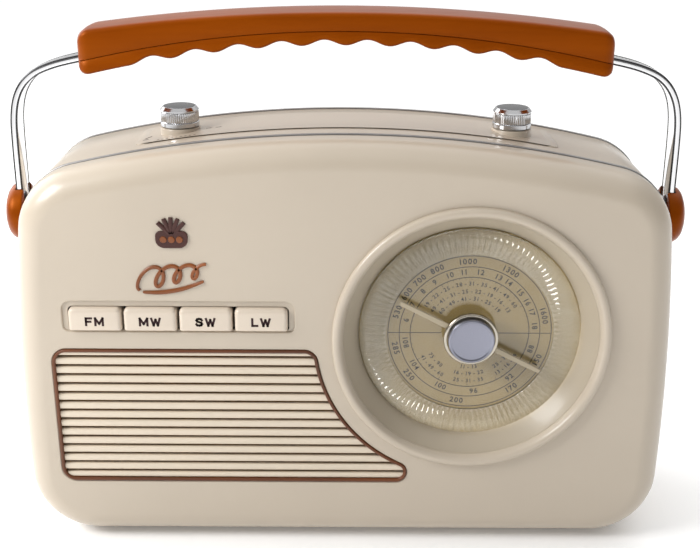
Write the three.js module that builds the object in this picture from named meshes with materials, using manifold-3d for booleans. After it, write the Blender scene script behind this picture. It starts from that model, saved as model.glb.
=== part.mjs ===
// Tabletop radio with a carrying handle, a round tuning dial, band buttons and a telescopic aerial.
// Millimetres, +Z up, front facing -Y. The origin is under the middle of the case, on the table.
import * as THREE from "three";
import { mergeVertices } from "three/addons/utils/BufferGeometryUtils.js";
import Module from "manifold-3d";

const wasm = await Module();
wasm.setup();

// ---------- driving dimensions ----------
const GAP = 0.3; // between pieces that meet
const WALL = 2.5; // moulded case wall
const DEG = Math.PI / 180;

// Case outline in the X-Z plane: an arched top, bulging sides, rounded corners and a flat bottom.
const CASE_HALF_WIDTH = 144.8;
const CASE_TOP_Z = 189.4;
const CASE_BOTTOM_Z = 2.5;
const ARCH_RADIUS = 515;
const SIDE_RADIUS = 960;
const SIDE_CROWN_Z = 54.5;
const UPPER_CORNER_RADIUS = 29.5;
const LOWER_CORNER_RADIUS = 30;

// Case stations along the depth.
const FACE_Y = -42.5;
const FRONT_TRIM_Y = -24.5;
const REAR_TRIM_Y = 27.5;
const BACK_Y = 45.5;
const TRIM_HALF = 0.9;
const TRIM_PROUD = 0.5;
const REAR_INSET = 1.5; // the rear cover sits inside the line of the band
const EDGE_RADIUS = 12;

// Handle.
const PIVOT_Y = 1.5;
const PIVOT_Z = 147;
const PIN_RADIUS = 4;
const CAP_RADIUS = 13.2;
const CAP_OUTER_X = 152.8;
const CAP_INNER_X = 144.1;
const CAP_RIM_X = 147.5; // where the rounding of the cap's edge starts
const STRAP_WIDTH = 11.5;
const STRAP_THICKNESS = 2.6;
const STRAP_ROUTE = [
  [145.8, 139],
  [145.4, 163],
  [144.9, 182],
  [144.2, 190.5],
  [142.6, 198],
  [139.6, 203.8],
  [135, 208],
  [128.5, 211.6],
  [120, 214.4],
  [108, 217.6],
  [96, 220],
];
const PIN_SHOULDER_RADIUS = 9;
const PIN_INNER_RADIUS = 6.5;
const PIN_END_X = 149.5;
const CAP_SLOT = { x0: 140, x1: 147.6, z0: 138.6, z1: 170 };
const GRIP_HALF_LENGTH = 114;
const GRIP_HALF_WIDTH = 13;
const GRIP_TOP_Z = 238.5;
const GRIP_TOP_RADIUS = 794;
const PARTING_Z = 230.2;
const PARTING_RADIUS = 486;
const SCALLOP_LINE_Z = 224.2;
const SCALLOP_LINE_RADIUS = 471;
const SCALLOP_PITCH = 18.4;
const SCALLOP_DEPTH = 2.3;
const SCALLOP_COUNT = 10;

// Tuning dial.
const DIAL_X = 55;
const DIAL_Z = 102.5;
const BEZEL_FRONT_Y = -45.5;
const BEZEL_RADIUS = 60.6;
const BOWL_RADIUS = 57.4;
const BOWL_FLOOR_RADIUS = 49;
const DISC_RADIUS = 48.4;
const DISC_FRONT_Y = -38.1;
const DISC_BACK_Y = -33.6;
const SCALE_Y = -33;
const SCALE_RADIUS = 52.5;
const SLEEVE_RADIUS = 7;
const COLLAR_RADIUS = 12;
const COLLAR_BORE = 10.5;
const CAP_FACE_RADIUS = 10.15;
const CAP_FACE_Y = -43.8;
const TUNING_SHAFT_END_Y = -16;
const CAPACITOR = { halfWidth: 18, halfHeight: 17, y0: -19, y1: 6, shaft: 2.5 };
const POINTER_REACH = 35;
const POINTER_ANGLE = 152.6 * DEG;
const GEAR_TEETH = 20;
const GEAR_MODULE = 1.2;
const GEAR_FRONT_Y = -27;
const GEAR_BACK_Y = -23;

// Loudspeaker grille.
const GRILLE_LEFT_X = -127.8;
const GRILLE_TOP_Z = 97.5;
const GRILLE_BOTTOM_Z = 32.4;
const GRILLE_CORNER = 6.5;
const GRILLE_BAY_RADIUS = 67.6;
const GRILLE_UPPER_FILLET = 6;
const GRILLE_LOWER_FILLET = 4.9;
const TRIM_WIDTH = 1.3;
const SLOT_COUNT = 14;
const SLOT_PITCH = 4.36;
const SLOT_HEIGHT = 1.5;
const FIRST_SLOT_Z = 93.69;
const SLAT_BORDER = 2.4;
const SLAT_FRONT_Y = -42.1;
const SLAT_BACK_Y = -40.1;
const SPEAKER_X = -68;
const SPEAKER_Z = 65;
const SPEAKER_FRONT_Y = -38.5;
const SPEAKER_RADIUS = 40;
const SPEAKER_DEPTH = 20;
const MAGNET_RADIUS = 22;
const MAGNET_DEPTH = 16;

// Band buttons.
const BUTTON_COUNT = 4;
const BUTTON_PITCH = 23.85;
const BUTTON_LEFT_X = -119.4;
const BUTTON_BOTTOM_Z = 106.9;
const BUTTON_TOP_Z = 118.5;
const BUTTON_FRONT_Y = -44.4;
const BUTTON_BACK_Y = -33;
const BUTTON_STEM_Y = -27.6;
const BUTTON_CORNER = 2.4;
const BUTTON_STEM = { half: 3, z0: 110, z1: 115 };
const BUTTON_SLOT_MARGIN = { side: 3, below: 0.8, above: 1.8 };
const BAND_SWITCH = [-118, -26, -24, -12, 107.5, 118];

// Knobs on the arched top.
const KNOB_X = 73.5;
const KNOB_RADIUS = 8.5;
const KNOB_HEIGHT = 9;
const SHAFT_RADIUS = 3;
const PANEL = { x0: -91.5, x1: 92.5, y0: -14, y1: 17, sunk: 0.7, proud: 0.5 };
const BOSS_RADIUS = 8.8;
const BOSS_TOP = 2.6; // above the arch, at the knob's middle
const BOSS_ROOT = -4;
const CONTROL_RADIUS = 8.5;
const CONTROL_TOP_Z = -5; // below the arch, along the shaft
const CONTROL_BOTTOM_Z = -14;
const CONTROL_DROP = 0.8; // keeps the level collar clear of the sloping roof

// Back of the case.
const DOOR = { x0: -58, x1: 44, z0: 17, z1: 69, y0: 43.3, y1: 45.3 };
const DOOR_GAP = 0.4;
const INLET = { x0: 106, x1: 130, z0: 26, z1: 42, y0: 31, y1: 45 };
const SOCKET_RIM = { sides: 3, ends: 3.5, floor: 3 };
const SOCKET_PIN = { offset: 6, radius: 1.2, short: 3 };
const VENT = { x0: -112, x1: -36, z0: 84, pitch: 6, height: 2.4, count: 9 };
const REBATE_Y = 36.5;
const REBATE_Z = 163.3;
const REBATE_END_X = 110;
const AERIAL_X = 100;
const AERIAL_Z = 168;
const AERIAL_Y = 41;
const AERIAL_LENGTH = 180;
const AERIAL_START = 4.3;
const KNUCKLE_RADIUS = 4;
const KNUCKLE_PIN_RADIUS = 2.2;
const OUTER_TUBE = { radius: 2.5, bore: 2 };
const MIDDLE_TUBE = { radius: 1.7, bore: 1.3, inset: 4, beyond: 2 };
const AERIAL_TIP = { radius: 2.5, rod: 1, inset: 8, beyond: 3, length: 7 };
const SCREW_PLACES = [
  [-131, 126],
  [131, 126],
  [-128, 19],
  [128, 19],
];
const POST_RADIUS = 9;
const COLUMN_RADIUS = 5;
const SCREW_HOLE_RADIUS = 1.9;
const SCREW_SEAT_RADIUS = 3.9;
const SCREW_SEAT_Y = 42.4;
const SCREW_TIP_Y = 12;
const SCREW_RADIUS = 1.6;
const SCREW_HEAD = { radius: 3.5, y0: 42.7, rim: 43.6, dome: 44.4, y1: 44.6 };
const FOOT_X = 104;
const FOOT_YS = { front: -14, rear: 17 };
const FOOT_RADIUS = 8;
const FOOT_RISE = 1; // how far a foot reaches into the floor of the case

// Inside the case. Blocks are x0, x1, y0, y1, z0, z1.
const MAIN_BOARD = [-20, 118, 8, 9.6, 74, 150];
const FERRITE_ROD = { radius: 5, length: 120, y: 16, z: 162 };
const TRANSFORMER_STACK = [60, 100, 16, 38, 14, 50];
const TRANSFORMER_WINDING = [67, 93, 13, 41, 20, 44];
const BATTERY_BAY = { x0: -59.2, x1: 46.8, y0: 12.5, y1: 42.2, z0: 14.3, z1: 72.3, wall: 1.5 };
const CELL = { radius: 13.3, length: 50.2, y: 28.2, xs: [-30.9, 19.2], zs: [30.1, 56.5] };

// Emblems on the face.
const BADGE = { x: -72.7, z: 151.5, radius: 7 };
const EMBLEM_PROUD = 0.9;
const FLOURISH_HALF_WIDTH = 0.9;
const FLOURISH_ROUTE = [
  [-87, 127],
  [-82, 136],
  [-76, 128],
  [-70, 134.5],
  [-64, 127.5],
  [-58, 131],
];

// ---------- closed solids ----------

// A geometry with shared corners, no collapsed triangles and its faces out, ready to cut and join.
function solidOf(geometry) {
  const bare = geometry.clone();
  bare.deleteAttribute("normal");
  bare.deleteAttribute("uv");
  const merged = mergeVertices(bare, 1e-4);
  const corners = merged.index.array;
  const kept = [];
  const corner = new THREE.Vector3();
  let volume = 0;
  for (let i = 0; i < corners.length; i += 3) {
    const [a, b, c] = [corners[i], corners[i + 1], corners[i + 2]];
    if (a === b || b === c || c === a) continue;
    kept.push(a, b, c);
    const [p, q, r] = [a, b, c].map((k) => corner.clone().fromBufferAttribute(merged.attributes.position, k));
    volume += p.dot(q.cross(r));
  }
  if (volume < 0) kept.reverse();
  const vertProperties = new Float32Array(merged.attributes.position.array);
  const triVerts = new Uint32Array(kept);
  return new wasm.Manifold(new wasm.Mesh({ numProp: 3, vertProperties, triVerts }));
}

function geometryOf(solid) {
  const mesh = solid.getMesh();
  const geometry = new THREE.BufferGeometry();
  geometry.setAttribute("position", new THREE.BufferAttribute(mesh.vertProperties.slice(), 3));
  geometry.setIndex(new THREE.BufferAttribute(mesh.triVerts.slice(), 1));
  geometry.computeVertexNormals();
  return geometry;
}

function cut(base, ...tools) {
  return geometryOf(tools.reduce((solid, tool) => solid.subtract(solidOf(tool)), solidOf(base)));
}

function join(base, ...others) {
  return geometryOf(others.reduce((solid, other) => solid.add(solidOf(other)), solidOf(base)));
}

function common(base, other) {
  return geometryOf(solidOf(base).intersect(solidOf(other)));
}

function block(x0, x1, y0, y1, z0, z1) {
  const geometry = new THREE.BoxGeometry(x1 - x0, y1 - y0, z1 - z0);
  return geometry.translate((x0 + x1) / 2, (y0 + y1) / 2, (z0 + z1) / 2);
}

// A solid of revolution about a line along +Y through (x, z). Each profile point is [radius, y].
function latheY(profile, x, z, segments = 32) {
  const points = profile.map(([radius, y]) => new THREE.Vector2(radius, y));
  return new THREE.LatheGeometry(points, segments).translate(x, 0, z);
}

// The same about the handle's pivot line. Each profile point is [radius, distance from the middle].
function latheX(profile, side, segments = 28) {
  const points = profile.map(([radius, reach]) => new THREE.Vector2(radius, reach));
  const geometry = new THREE.LatheGeometry(points, segments);
  return geometry.rotateZ(-side * Math.PI / 2).translate(0, PIVOT_Y, PIVOT_Z);
}

// The same about +Z through the origin. Each profile point is [radius, z].
function latheZ(profile, segments = 28) {
  const points = profile.map(([radius, z]) => new THREE.Vector2(radius, z));
  return new THREE.LatheGeometry(points, segments).rotateX(Math.PI / 2);
}

function rodY(radius, y0, y1, x, z, segments = 20) {
  return latheY([[0, y0], [radius, y0], [radius, y1], [0, y1]], x, z, segments);
}

// A flat shape drawn in X-Z, with thickness from y0 to y1.
function plate(shape, y0, y1, curveSegments = 6) {
  const settings = { depth: y1 - y0, bevelEnabled: false, curveSegments };
  return new THREE.ExtrudeGeometry(shape, settings).rotateX(Math.PI / 2).translate(0, y1, 0);
}

// A skin through rings of matching points, closed by a fan at each end. Rings are convex.
function loft(rings) {
  const count = rings[0].length;
  const points = rings.flat();
  const triangles = [];
  for (let ring = 0; ring + 1 < rings.length; ring += 1) {
    for (let i = 0; i < count; i += 1) {
      const a = ring * count + i;
      const b = ring * count + ((i + 1) % count);
      triangles.push(a, b, b + count, a, b + count, a + count);
    }
  }
  const addFan = (ring, outwards) => {
    const middle = new THREE.Vector3();
    ring.forEach((point) => middle.addScaledVector(point, 1 / count));
    points.push(middle);
    const start = rings.indexOf(ring) * count;
    for (let i = 0; i < count; i += 1) {
      const edge = [start + i, start + ((i + 1) % count)];
      if (!outwards) edge.reverse();
      triangles.push(points.length - 1, ...edge);
    }
  };
  addFan(rings[0], false);
  addFan(rings[rings.length - 1], true);
  const geometry = new THREE.BufferGeometry().setFromPoints(points);
  geometry.setIndex(triangles);
  return geometry;
}

// ---------- case outline ----------

const ARCH_CENTRE = new THREE.Vector2(0, CASE_TOP_Z - ARCH_RADIUS);
const SIDE_CENTRE = new THREE.Vector2(CASE_HALF_WIDTH - SIDE_RADIUS, SIDE_CROWN_Z);

// The point at distance a from the arch centre and b from the side centre, on the upper right.
function upperCornerCentre(a, b) {
  const between = SIDE_CENTRE.clone().sub(ARCH_CENTRE);
  const span = between.length();
  const along = (a * a - b * b + span * span) / (2 * span);
  const aside = Math.sqrt(a * a - along * along);
  const unit = between.normalize();
  return new THREE.Vector2(
    ARCH_CENTRE.x + unit.x * along + unit.y * aside,
    ARCH_CENTRE.y + unit.y * along - unit.x * aside,
  );
}

const UPPER_CORNER = upperCornerCentre(
  ARCH_RADIUS - UPPER_CORNER_RADIUS,
  SIDE_RADIUS - UPPER_CORNER_RADIUS,
);
const LOWER_CORNER_Z = CASE_BOTTOM_Z + LOWER_CORNER_RADIUS;
const LOWER_CORNER_REACH = Math.sqrt(
  (SIDE_RADIUS - LOWER_CORNER_RADIUS) ** 2 - (LOWER_CORNER_Z - SIDE_CROWN_Z) ** 2,
);
const LOWER_CORNER = new THREE.Vector2(SIDE_CENTRE.x + LOWER_CORNER_REACH, LOWER_CORNER_Z);

function arcPoints(centre, radius, from, to, steps) {
  const points = [];
  for (let i = 0; i <= steps; i += 1) {
    const angle = from + ((to - from) * i) / steps;
    const spoke = new THREE.Vector2(radius * Math.cos(angle), radius * Math.sin(angle));
    points.push(spoke.add(centre));
  }
  return points;
}

function angleTo(from, to) {
  return Math.atan2(to.y - from.y, to.x - from.x);
}

// Evenly spread values from one end to the other, both ends included.
function spread(from, to, steps) {
  return Array.from({ length: steps + 1 }, (_, i) => from + ((to - from) * i) / steps);
}

// The case outline moved inwards by inset, anticlockwise seen from the front.
function caseOutline(inset) {
  const top = angleTo(ARCH_CENTRE, UPPER_CORNER);
  const shoulder = angleTo(SIDE_CENTRE, UPPER_CORNER);
  const hip = angleTo(SIDE_CENTRE, LOWER_CORNER);
  const right = [
    ...arcPoints(LOWER_CORNER, LOWER_CORNER_RADIUS - inset, -Math.PI / 2, hip, 4),
    ...arcPoints(SIDE_CENTRE, SIDE_RADIUS - inset, hip, shoulder, 2).slice(1),
    ...arcPoints(UPPER_CORNER, UPPER_CORNER_RADIUS - inset, shoulder, top, 4).slice(1),
    ...arcPoints(ARCH_CENTRE, ARCH_RADIUS - inset, top, Math.PI / 2, 4).slice(1),
  ];
  const left = right.slice(0, -1).map((point) => new THREE.Vector2(-point.x, point.y));
  return [...right, ...left.reverse()];
}

function caseRing(inset, y) {
  return caseOutline(inset).map((point) => new THREE.Vector3(point.x, y, point.y));
}

// A solid cushion shape from the rim to the face, with a rounded edge at the face.
function trayBlock(rimY, faceY, inset, edgeRadius) {
  const towards = Math.sign(faceY - rimY);
  const steps = 3;
  const rings = [caseRing(inset, rimY)];
  for (let i = 0; i <= steps; i += 1) {
    const angle = (i / steps) * (Math.PI / 2);
    const y = faceY - towards * edgeRadius * (1 - Math.sin(angle));
    rings.push(caseRing(inset + edgeRadius * (1 - Math.cos(angle)), y));
  }
  return loft(rings);
}

function trayHollow(rimY, faceY, inset) {
  const towards = Math.sign(faceY - rimY);
  return trayBlock(rimY - towards, faceY - towards * WALL, inset + WALL, EDGE_RADIUS - WALL);
}

function archPoint(x, radius) {
  const angle = Math.asin(x / radius);
  return new THREE.Vector2(x, ARCH_CENTRE.y + radius * Math.cos(angle));
}

// A strip that follows the arched top, between two radii about the arch centre.
function archStrip(x0, x1, inner, outer, y0, y1) {
  const stations = spread(x0, x1, 6);
  const along = (radius) => stations.map((x) => archPoint(x, radius));
  const shape = new THREE.Shape([...along(inner), ...along(outer).reverse()]);
  return plate(shape, y0, y1);
}

// Moves a piece drawn about +Z so that it stands upright on the arch at x.
function ontoArch(geometry, x) {
  const foot = archPoint(x, ARCH_RADIUS);
  return geometry.translate(foot.x, PIVOT_Y, foot.y);
}

// ---------- grille outline ----------

// The grille's outline moved inwards by inset: a box whose right side is a bay round the dial.
function grilleShape(inset) {
  const upperZ = GRILLE_TOP_Z - GRILLE_UPPER_FILLET;
  const lowerZ = GRILLE_BOTTOM_Z + GRILLE_LOWER_FILLET;
  const beside = (fillet, z) => (
    DIAL_X - Math.sqrt((GRILLE_BAY_RADIUS + fillet) ** 2 - (DIAL_Z - z) ** 2)
  );
  const dial = new THREE.Vector2(DIAL_X, DIAL_Z);
  const upper = new THREE.Vector2(beside(GRILLE_UPPER_FILLET, upperZ), upperZ);
  const lower = new THREE.Vector2(beside(GRILLE_LOWER_FILLET, lowerZ), lowerZ);
  const cornerX = GRILLE_LEFT_X + GRILLE_CORNER;
  const corner = GRILLE_CORNER - inset;
  const topLeft = new THREE.Vector2(cornerX, GRILLE_TOP_Z - GRILLE_CORNER);
  const bottomLeft = new THREE.Vector2(cornerX, GRILLE_BOTTOM_Z + GRILLE_CORNER);
  const turn = 2 * Math.PI;
  const bayFrom = angleTo(dial, lower) + turn;
  const bayTo = angleTo(dial, upper) + (angleTo(dial, upper) < 0 ? turn : 0);
  return new THREE.Shape([
    ...arcPoints(bottomLeft, corner, Math.PI, 1.5 * Math.PI, 3),
    ...arcPoints(lower, GRILLE_LOWER_FILLET - inset, -Math.PI / 2, angleTo(lower, dial), 6),
    ...arcPoints(dial, GRILLE_BAY_RADIUS + inset, bayFrom, bayTo, 10).slice(1, -1),
    ...arcPoints(upper, GRILLE_UPPER_FILLET - inset, angleTo(upper, dial), Math.PI / 2, 4),
    ...arcPoints(topLeft, corner, Math.PI / 2, Math.PI, 3),
  ]);
}

// ---------- the model ----------

const radio = new THREE.Group();

function addPart(parent, name, geometry, [color, roughness, metalness]) {
  const material = new THREE.MeshStandardMaterial({ color, roughness, metalness });
  const mesh = new THREE.Mesh(geometryOf(solidOf(geometry)), material);
  mesh.name = name;
  parent.add(mesh);
}

const CREAM = [0xd3c6b6, 0.38, 0];
const CARAMEL = [0x95440a, 0.3, 0];
const COPPER = [0x7a4a34, 0.4, 0.3];
const SILVER = [0xb4b4b6, 0.3, 0.8];
const CHROME = [0xd8d8dc, 0.12, 1];
const STEEL = [0x9a9aa0, 0.35, 0.9];
const GOLD = [0xab9a7e, 0.4, 0.3];
const CLEAR = [0xe6ddca, 0.08, 0];
const RUBBER = [0x242220, 0.85, 0];
const BLACK = [0x1c1b1a, 0.5, 0];
const PAPER = [0x2c2a28, 0.9, 0];
const BOARD = [0x5a4a20, 0.6, 0];
const FERRITE = [0x3a3532, 0.7, 0.1];
const COPPER_WOUND = [0x8a4a26, 0.5, 0.4];
const JACKET = [0x30506a, 0.4, 0.2];
const BRASS = [0xb08d4a, 0.35, 0.9];

// Case shells, trims and feet.
function buildCase() {
  const bottomRecess = FOOT_RISE + GAP;
  const buttonsRightX = BUTTON_LEFT_X + BUTTON_COUNT * BUTTON_PITCH;
  const margin = BUTTON_SLOT_MARGIN;
  const faceFrom = FACE_Y - 1;
  const faceTo = FACE_Y + WALL + 1;
  const frontRim = FRONT_TRIM_Y - TRIM_HALF - GAP;
  const frontShell = cut(
    trayBlock(frontRim, FACE_Y, 0, EDGE_RADIUS),
    trayHollow(frontRim, FACE_Y, 0),
    plate(grilleShape(-GAP), faceFrom, faceTo),
    rodY(BOWL_RADIUS + GAP, faceFrom, faceTo, DIAL_X, DIAL_Z, 36),
    block(
      BUTTON_LEFT_X - margin.side, buttonsRightX + margin.side, faceFrom, faceTo,
      BUTTON_BOTTOM_Z - margin.below, BUTTON_TOP_Z + margin.above,
    ),
  );
  addPart(radio, "front_shell", frontShell, CREAM);

  const trims = { front_trim: FRONT_TRIM_Y, rear_trim: REAR_TRIM_Y };
  for (const [name, y] of Object.entries(trims)) {
    const outer = loft([caseRing(-TRIM_PROUD, y - TRIM_HALF), caseRing(-TRIM_PROUD, y + TRIM_HALF)]);
    const inner = loft([caseRing(WALL, y - 1), caseRing(WALL, y + 1)]);
    addPart(radio, name, cut(outer, inner), SILVER);
  }

  const bandFront = FRONT_TRIM_Y + TRIM_HALF + GAP;
  const bandRear = REAR_TRIM_Y - TRIM_HALF - GAP;
  const bandInner = loft([caseRing(WALL, bandFront - 1), caseRing(WALL, bandRear + 1)]);
  const bandOuter = loft([caseRing(0, bandFront), caseRing(0, bandRear)]);
  const posts = SCREW_PLACES.map(([x, z]) => {
    const post = rodY(POST_RADIUS, bandFront + 4, bandRear - 2, x, z, 12);
    return common(post, bandOuter);
  });
  const screwHoles = SCREW_PLACES.map(([x, z]) => (
    rodY(SCREW_HOLE_RADIUS, SCREW_TIP_Y - 4, bandRear + 1, x, z, 8)
  ));
  const recess = archStrip(
    PANEL.x0 - GAP, PANEL.x1 + GAP,
    ARCH_RADIUS - PANEL.sunk - GAP, ARCH_RADIUS + 3,
    PANEL.y0 - GAP, PANEL.y1 + GAP,
  );
  const pinHoles = [-1, 1].map((side) => pivotRod(PIN_RADIUS + GAP, 130, 146, side));
  const footPockets = footPlaces().map(([, x, y]) => {
    const pocket = new THREE.CylinderGeometry(FOOT_RADIUS + GAP, FOOT_RADIUS + GAP, 2 * bottomRecess, 14);
    return pocket.rotateX(Math.PI / 2).translate(x, y, CASE_BOTTOM_Z);
  });
  const band = cut(
    join(cut(bandOuter, bandInner), ...posts),
    ...screwHoles,
    recess,
    ...[-KNOB_X, KNOB_X].map((x) => ontoArch(shaftHole(), x)),
    ...pinHoles,
    ...footPockets,
  );
  addPart(radio, "case_band", band, CREAM);

  for (const [name, x, y] of footPlaces()) {
    const height = CASE_BOTTOM_Z + FOOT_RISE;
    const foot = new THREE.CylinderGeometry(FOOT_RADIUS, FOOT_RADIUS - 0.8, height, 14);
    addPart(radio, name, foot.rotateX(Math.PI / 2).translate(x, y, height / 2), RUBBER);
  }
}

// A hole through the arched top for a control's shaft, drawn about +Z through the origin.
function shaftHole() {
  const reach = 6;
  return latheZ([[0, -reach], [SHAFT_RADIUS + GAP, -reach], [SHAFT_RADIUS + GAP, reach], [0, reach]], 12);
}

function footPlaces() {
  const places = [];
  for (const [end, y] of Object.entries(FOOT_YS)) {
    places.push([`foot_${end}_left`, -FOOT_X, y], [`foot_${end}_right`, FOOT_X, y]);
  }
  return places;
}

// Rear cover with vents, a battery hatch, the mains inlet and a rebate that holds the aerial.
function buildBack() {
  const rim = REAR_TRIM_Y + TRIM_HALF + GAP;
  const outer = trayBlock(rim, BACK_Y, REAR_INSET, EDGE_RADIUS);
  const beside = -CASE_HALF_WIDTH - 10;
  const behind = BACK_Y + 1;
  const inside = BACK_Y - 5;
  const above = CASE_TOP_Z + 1;
  const rebate = block(beside, REBATE_END_X, REBATE_Y, behind, REBATE_Z, above);
  const rebateBack = block(beside, REBATE_END_X + WALL, REBATE_Y - WALL, behind, REBATE_Z - WALL, above);
  const columns = SCREW_PLACES.map(([x, z]) => common(rodY(COLUMN_RADIUS, rim + 1, BACK_Y, x, z, 12), outer));
  const vents = [];
  for (let row = 0; row < VENT.count; row += 1) {
    const z = VENT.z0 + row * VENT.pitch;
    vents.push(block(VENT.x0, VENT.x1, inside, behind, z, z + VENT.height));
  }
  const cover = cut(
    join(cut(outer, trayHollow(rim, BACK_Y, REAR_INSET)), common(outer, rebateBack), ...columns),
    rebate,
    rodY(KNUCKLE_PIN_RADIUS + 0.4, rim, behind, AERIAL_X, AERIAL_Z, 10),
    block(DOOR.x0 - DOOR_GAP, DOOR.x1 + DOOR_GAP, inside, behind, DOOR.z0 - DOOR_GAP, DOOR.z1 + DOOR_GAP),
    block(INLET.x0 - GAP, INLET.x1 + GAP, inside, behind, INLET.z0 - GAP, INLET.z1 + GAP),
    ...SCREW_PLACES.map(([x, z]) => rodY(SCREW_HOLE_RADIUS, rim, behind, x, z, 8)),
    ...SCREW_PLACES.map(([x, z]) => rodY(SCREW_SEAT_RADIUS, SCREW_SEAT_Y, behind, x, z, 12)),
    ...vents,
  );
  addPart(radio, "rear_cover", cover, CREAM);

  const screw = [
    [0, SCREW_TIP_Y],
    [SCREW_RADIUS, SCREW_TIP_Y],
    [SCREW_RADIUS, SCREW_HEAD.y0],
    [SCREW_HEAD.radius, SCREW_HEAD.y0],
    [SCREW_HEAD.radius, SCREW_HEAD.rim],
    [SCREW_HEAD.radius - 1.3, SCREW_HEAD.dome],
    [0, SCREW_HEAD.y1],
  ];
  SCREW_PLACES.forEach(([x, z], i) => addPart(radio, `case_screw_${i + 1}`, latheY(screw, x, z, 12), STEEL));

  const socket = cut(
    block(INLET.x0, INLET.x1, INLET.y0, INLET.y1, INLET.z0, INLET.z1),
    block(
      INLET.x0 + SOCKET_RIM.sides, INLET.x1 - SOCKET_RIM.sides,
      INLET.y0 + SOCKET_RIM.floor, INLET.y1 + 1,
      INLET.z0 + SOCKET_RIM.ends, INLET.z1 - SOCKET_RIM.ends,
    ),
  );
  const inletX = (INLET.x0 + INLET.x1) / 2;
  const inletZ = (INLET.z0 + INLET.z1) / 2;
  const pinRoot = INLET.y0 + SOCKET_RIM.floor - 1;
  const pins = [-SOCKET_PIN.offset, SOCKET_PIN.offset].map((offset) => (
    rodY(SOCKET_PIN.radius, pinRoot, INLET.y1 - SOCKET_PIN.short, inletX + offset, inletZ, 10)
  ));
  addPart(radio, "mains_inlet", join(socket, ...pins), BLACK);

  addPart(radio, "battery_door", block(DOOR.x0, DOOR.x1, DOOR.y0, DOOR.y1, DOOR.z0, DOOR.z1), CREAM);
}

// Telescopic aerial, lying along the rebate and pointing to -X.
function buildAerial() {
  const knuckle = join(
    rodY(KNUCKLE_RADIUS, REBATE_Y + 1, AERIAL_Y + 3.4, AERIAL_X, AERIAL_Z, 14),
    rodY(KNUCKLE_PIN_RADIUS, REBATE_Y - 5, REBATE_Y + 2, AERIAL_X, AERIAL_Z, 10),
  );
  addPart(radio, "aerial_swivel", knuckle, STEEL);
  const along = (geometry) => geometry.rotateY(-Math.PI / 2).translate(AERIAL_X, AERIAL_Y, AERIAL_Z);
  const tube = ({ radius, bore }, from, to) => {
    const profile = [[bore, from], [radius, from], [radius, to], [bore, to], [bore, from]];
    return along(latheZ(profile, 10));
  };
  addPart(radio, "aerial_tube_1", tube(OUTER_TUBE, AERIAL_START, AERIAL_LENGTH), CHROME);
  const middleFrom = AERIAL_START + MIDDLE_TUBE.inset;
  addPart(radio, "aerial_tube_2", tube(MIDDLE_TUBE, middleFrom, AERIAL_LENGTH + MIDDLE_TUBE.beyond), CHROME);
  const tipFrom = AERIAL_LENGTH + AERIAL_TIP.beyond;
  const tipTo = tipFrom + AERIAL_TIP.length;
  const tip = [
    [0, AERIAL_START + AERIAL_TIP.inset],
    [AERIAL_TIP.rod, AERIAL_START + AERIAL_TIP.inset],
    [AERIAL_TIP.rod, tipFrom],
    [AERIAL_TIP.radius, tipFrom],
    [AERIAL_TIP.radius, tipTo - 1],
    [0, tipTo],
  ];
  addPart(radio, "aerial_tip", along(latheZ(tip, 10)), CHROME);
}

// Printed top panel, with a boss under each knob; knobs, their shafts and the controls they turn.
function buildTop() {
  const inner = ARCH_RADIUS - PANEL.sunk;
  const outer = ARCH_RADIUS + PANEL.proud;
  const aboveInner = archStrip(PANEL.x0, PANEL.x1, inner, ARCH_RADIUS + 2 * BOSS_TOP, PANEL.y0, PANEL.y1);
  const bossAt = (x) => {
    const outline = [[0, BOSS_ROOT], [BOSS_RADIUS, BOSS_ROOT], [BOSS_RADIUS, BOSS_TOP], [0, BOSS_TOP]];
    return common(ontoArch(latheZ(outline, 20), x), aboveInner);
  };
  const clearance = SHAFT_RADIUS + GAP;
  const places = [-KNOB_X, KNOB_X];
  const strip = archStrip(PANEL.x0, PANEL.x1, inner, outer, PANEL.y0, PANEL.y1);
  const panel = cut(
    join(strip, ...places.map(bossAt)),
    ...places.map((x) => ontoArch(shaftHole(), x)),
  );
  addPart(radio, "top_panel", panel, CREAM);

  const controls = { volume: -KNOB_X, tone: KNOB_X };
  for (const [name, x] of Object.entries(controls)) {
    const stand = new THREE.Group();
    const foot = archPoint(x, ARCH_RADIUS);
    stand.position.set(foot.x, PIVOT_Y, foot.y);
    const base = BOSS_TOP + GAP;
    const top = base + KNOB_HEIGHT;
    const shaftTop = base + 6.6;
    const shaftEnd = CONTROL_TOP_Z - 1;
    const knob = [
      [0, shaftTop + 0.4], [clearance, shaftTop + 0.4], [clearance, base], [KNOB_RADIUS - 0.6, base],
      [KNOB_RADIUS - 0.6, base + 1.6], [KNOB_RADIUS, base + 2], [KNOB_RADIUS, top - 2.4],
      [KNOB_RADIUS - 0.5, top - 1], [KNOB_RADIUS - 1.6, top - 0.2], [0, top],
    ];
    addPart(stand, `${name}_knob`, latheZ(knob, 20), CHROME);
    const shaft = [[0, shaftEnd], [SHAFT_RADIUS, shaftEnd], [SHAFT_RADIUS, shaftTop], [0, shaftTop]];
    addPart(stand, `${name}_shaft`, latheZ(shaft, 12), BRASS);
    const collarTop = -WALL - GAP - CONTROL_DROP;
    const control = [
      [0, shaftEnd - 2], [clearance, shaftEnd - 2], [clearance, collarTop], [SHAFT_RADIUS + 2, collarTop],
      [SHAFT_RADIUS + 2, CONTROL_TOP_Z], [CONTROL_RADIUS, CONTROL_TOP_Z], [CONTROL_RADIUS, CONTROL_BOTTOM_Z],
      [0, CONTROL_BOTTOM_Z],
    ];
    addPart(stand, `${name}_control`, latheZ(control, 14), STEEL);
    radio.add(stand);
  }
}

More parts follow.
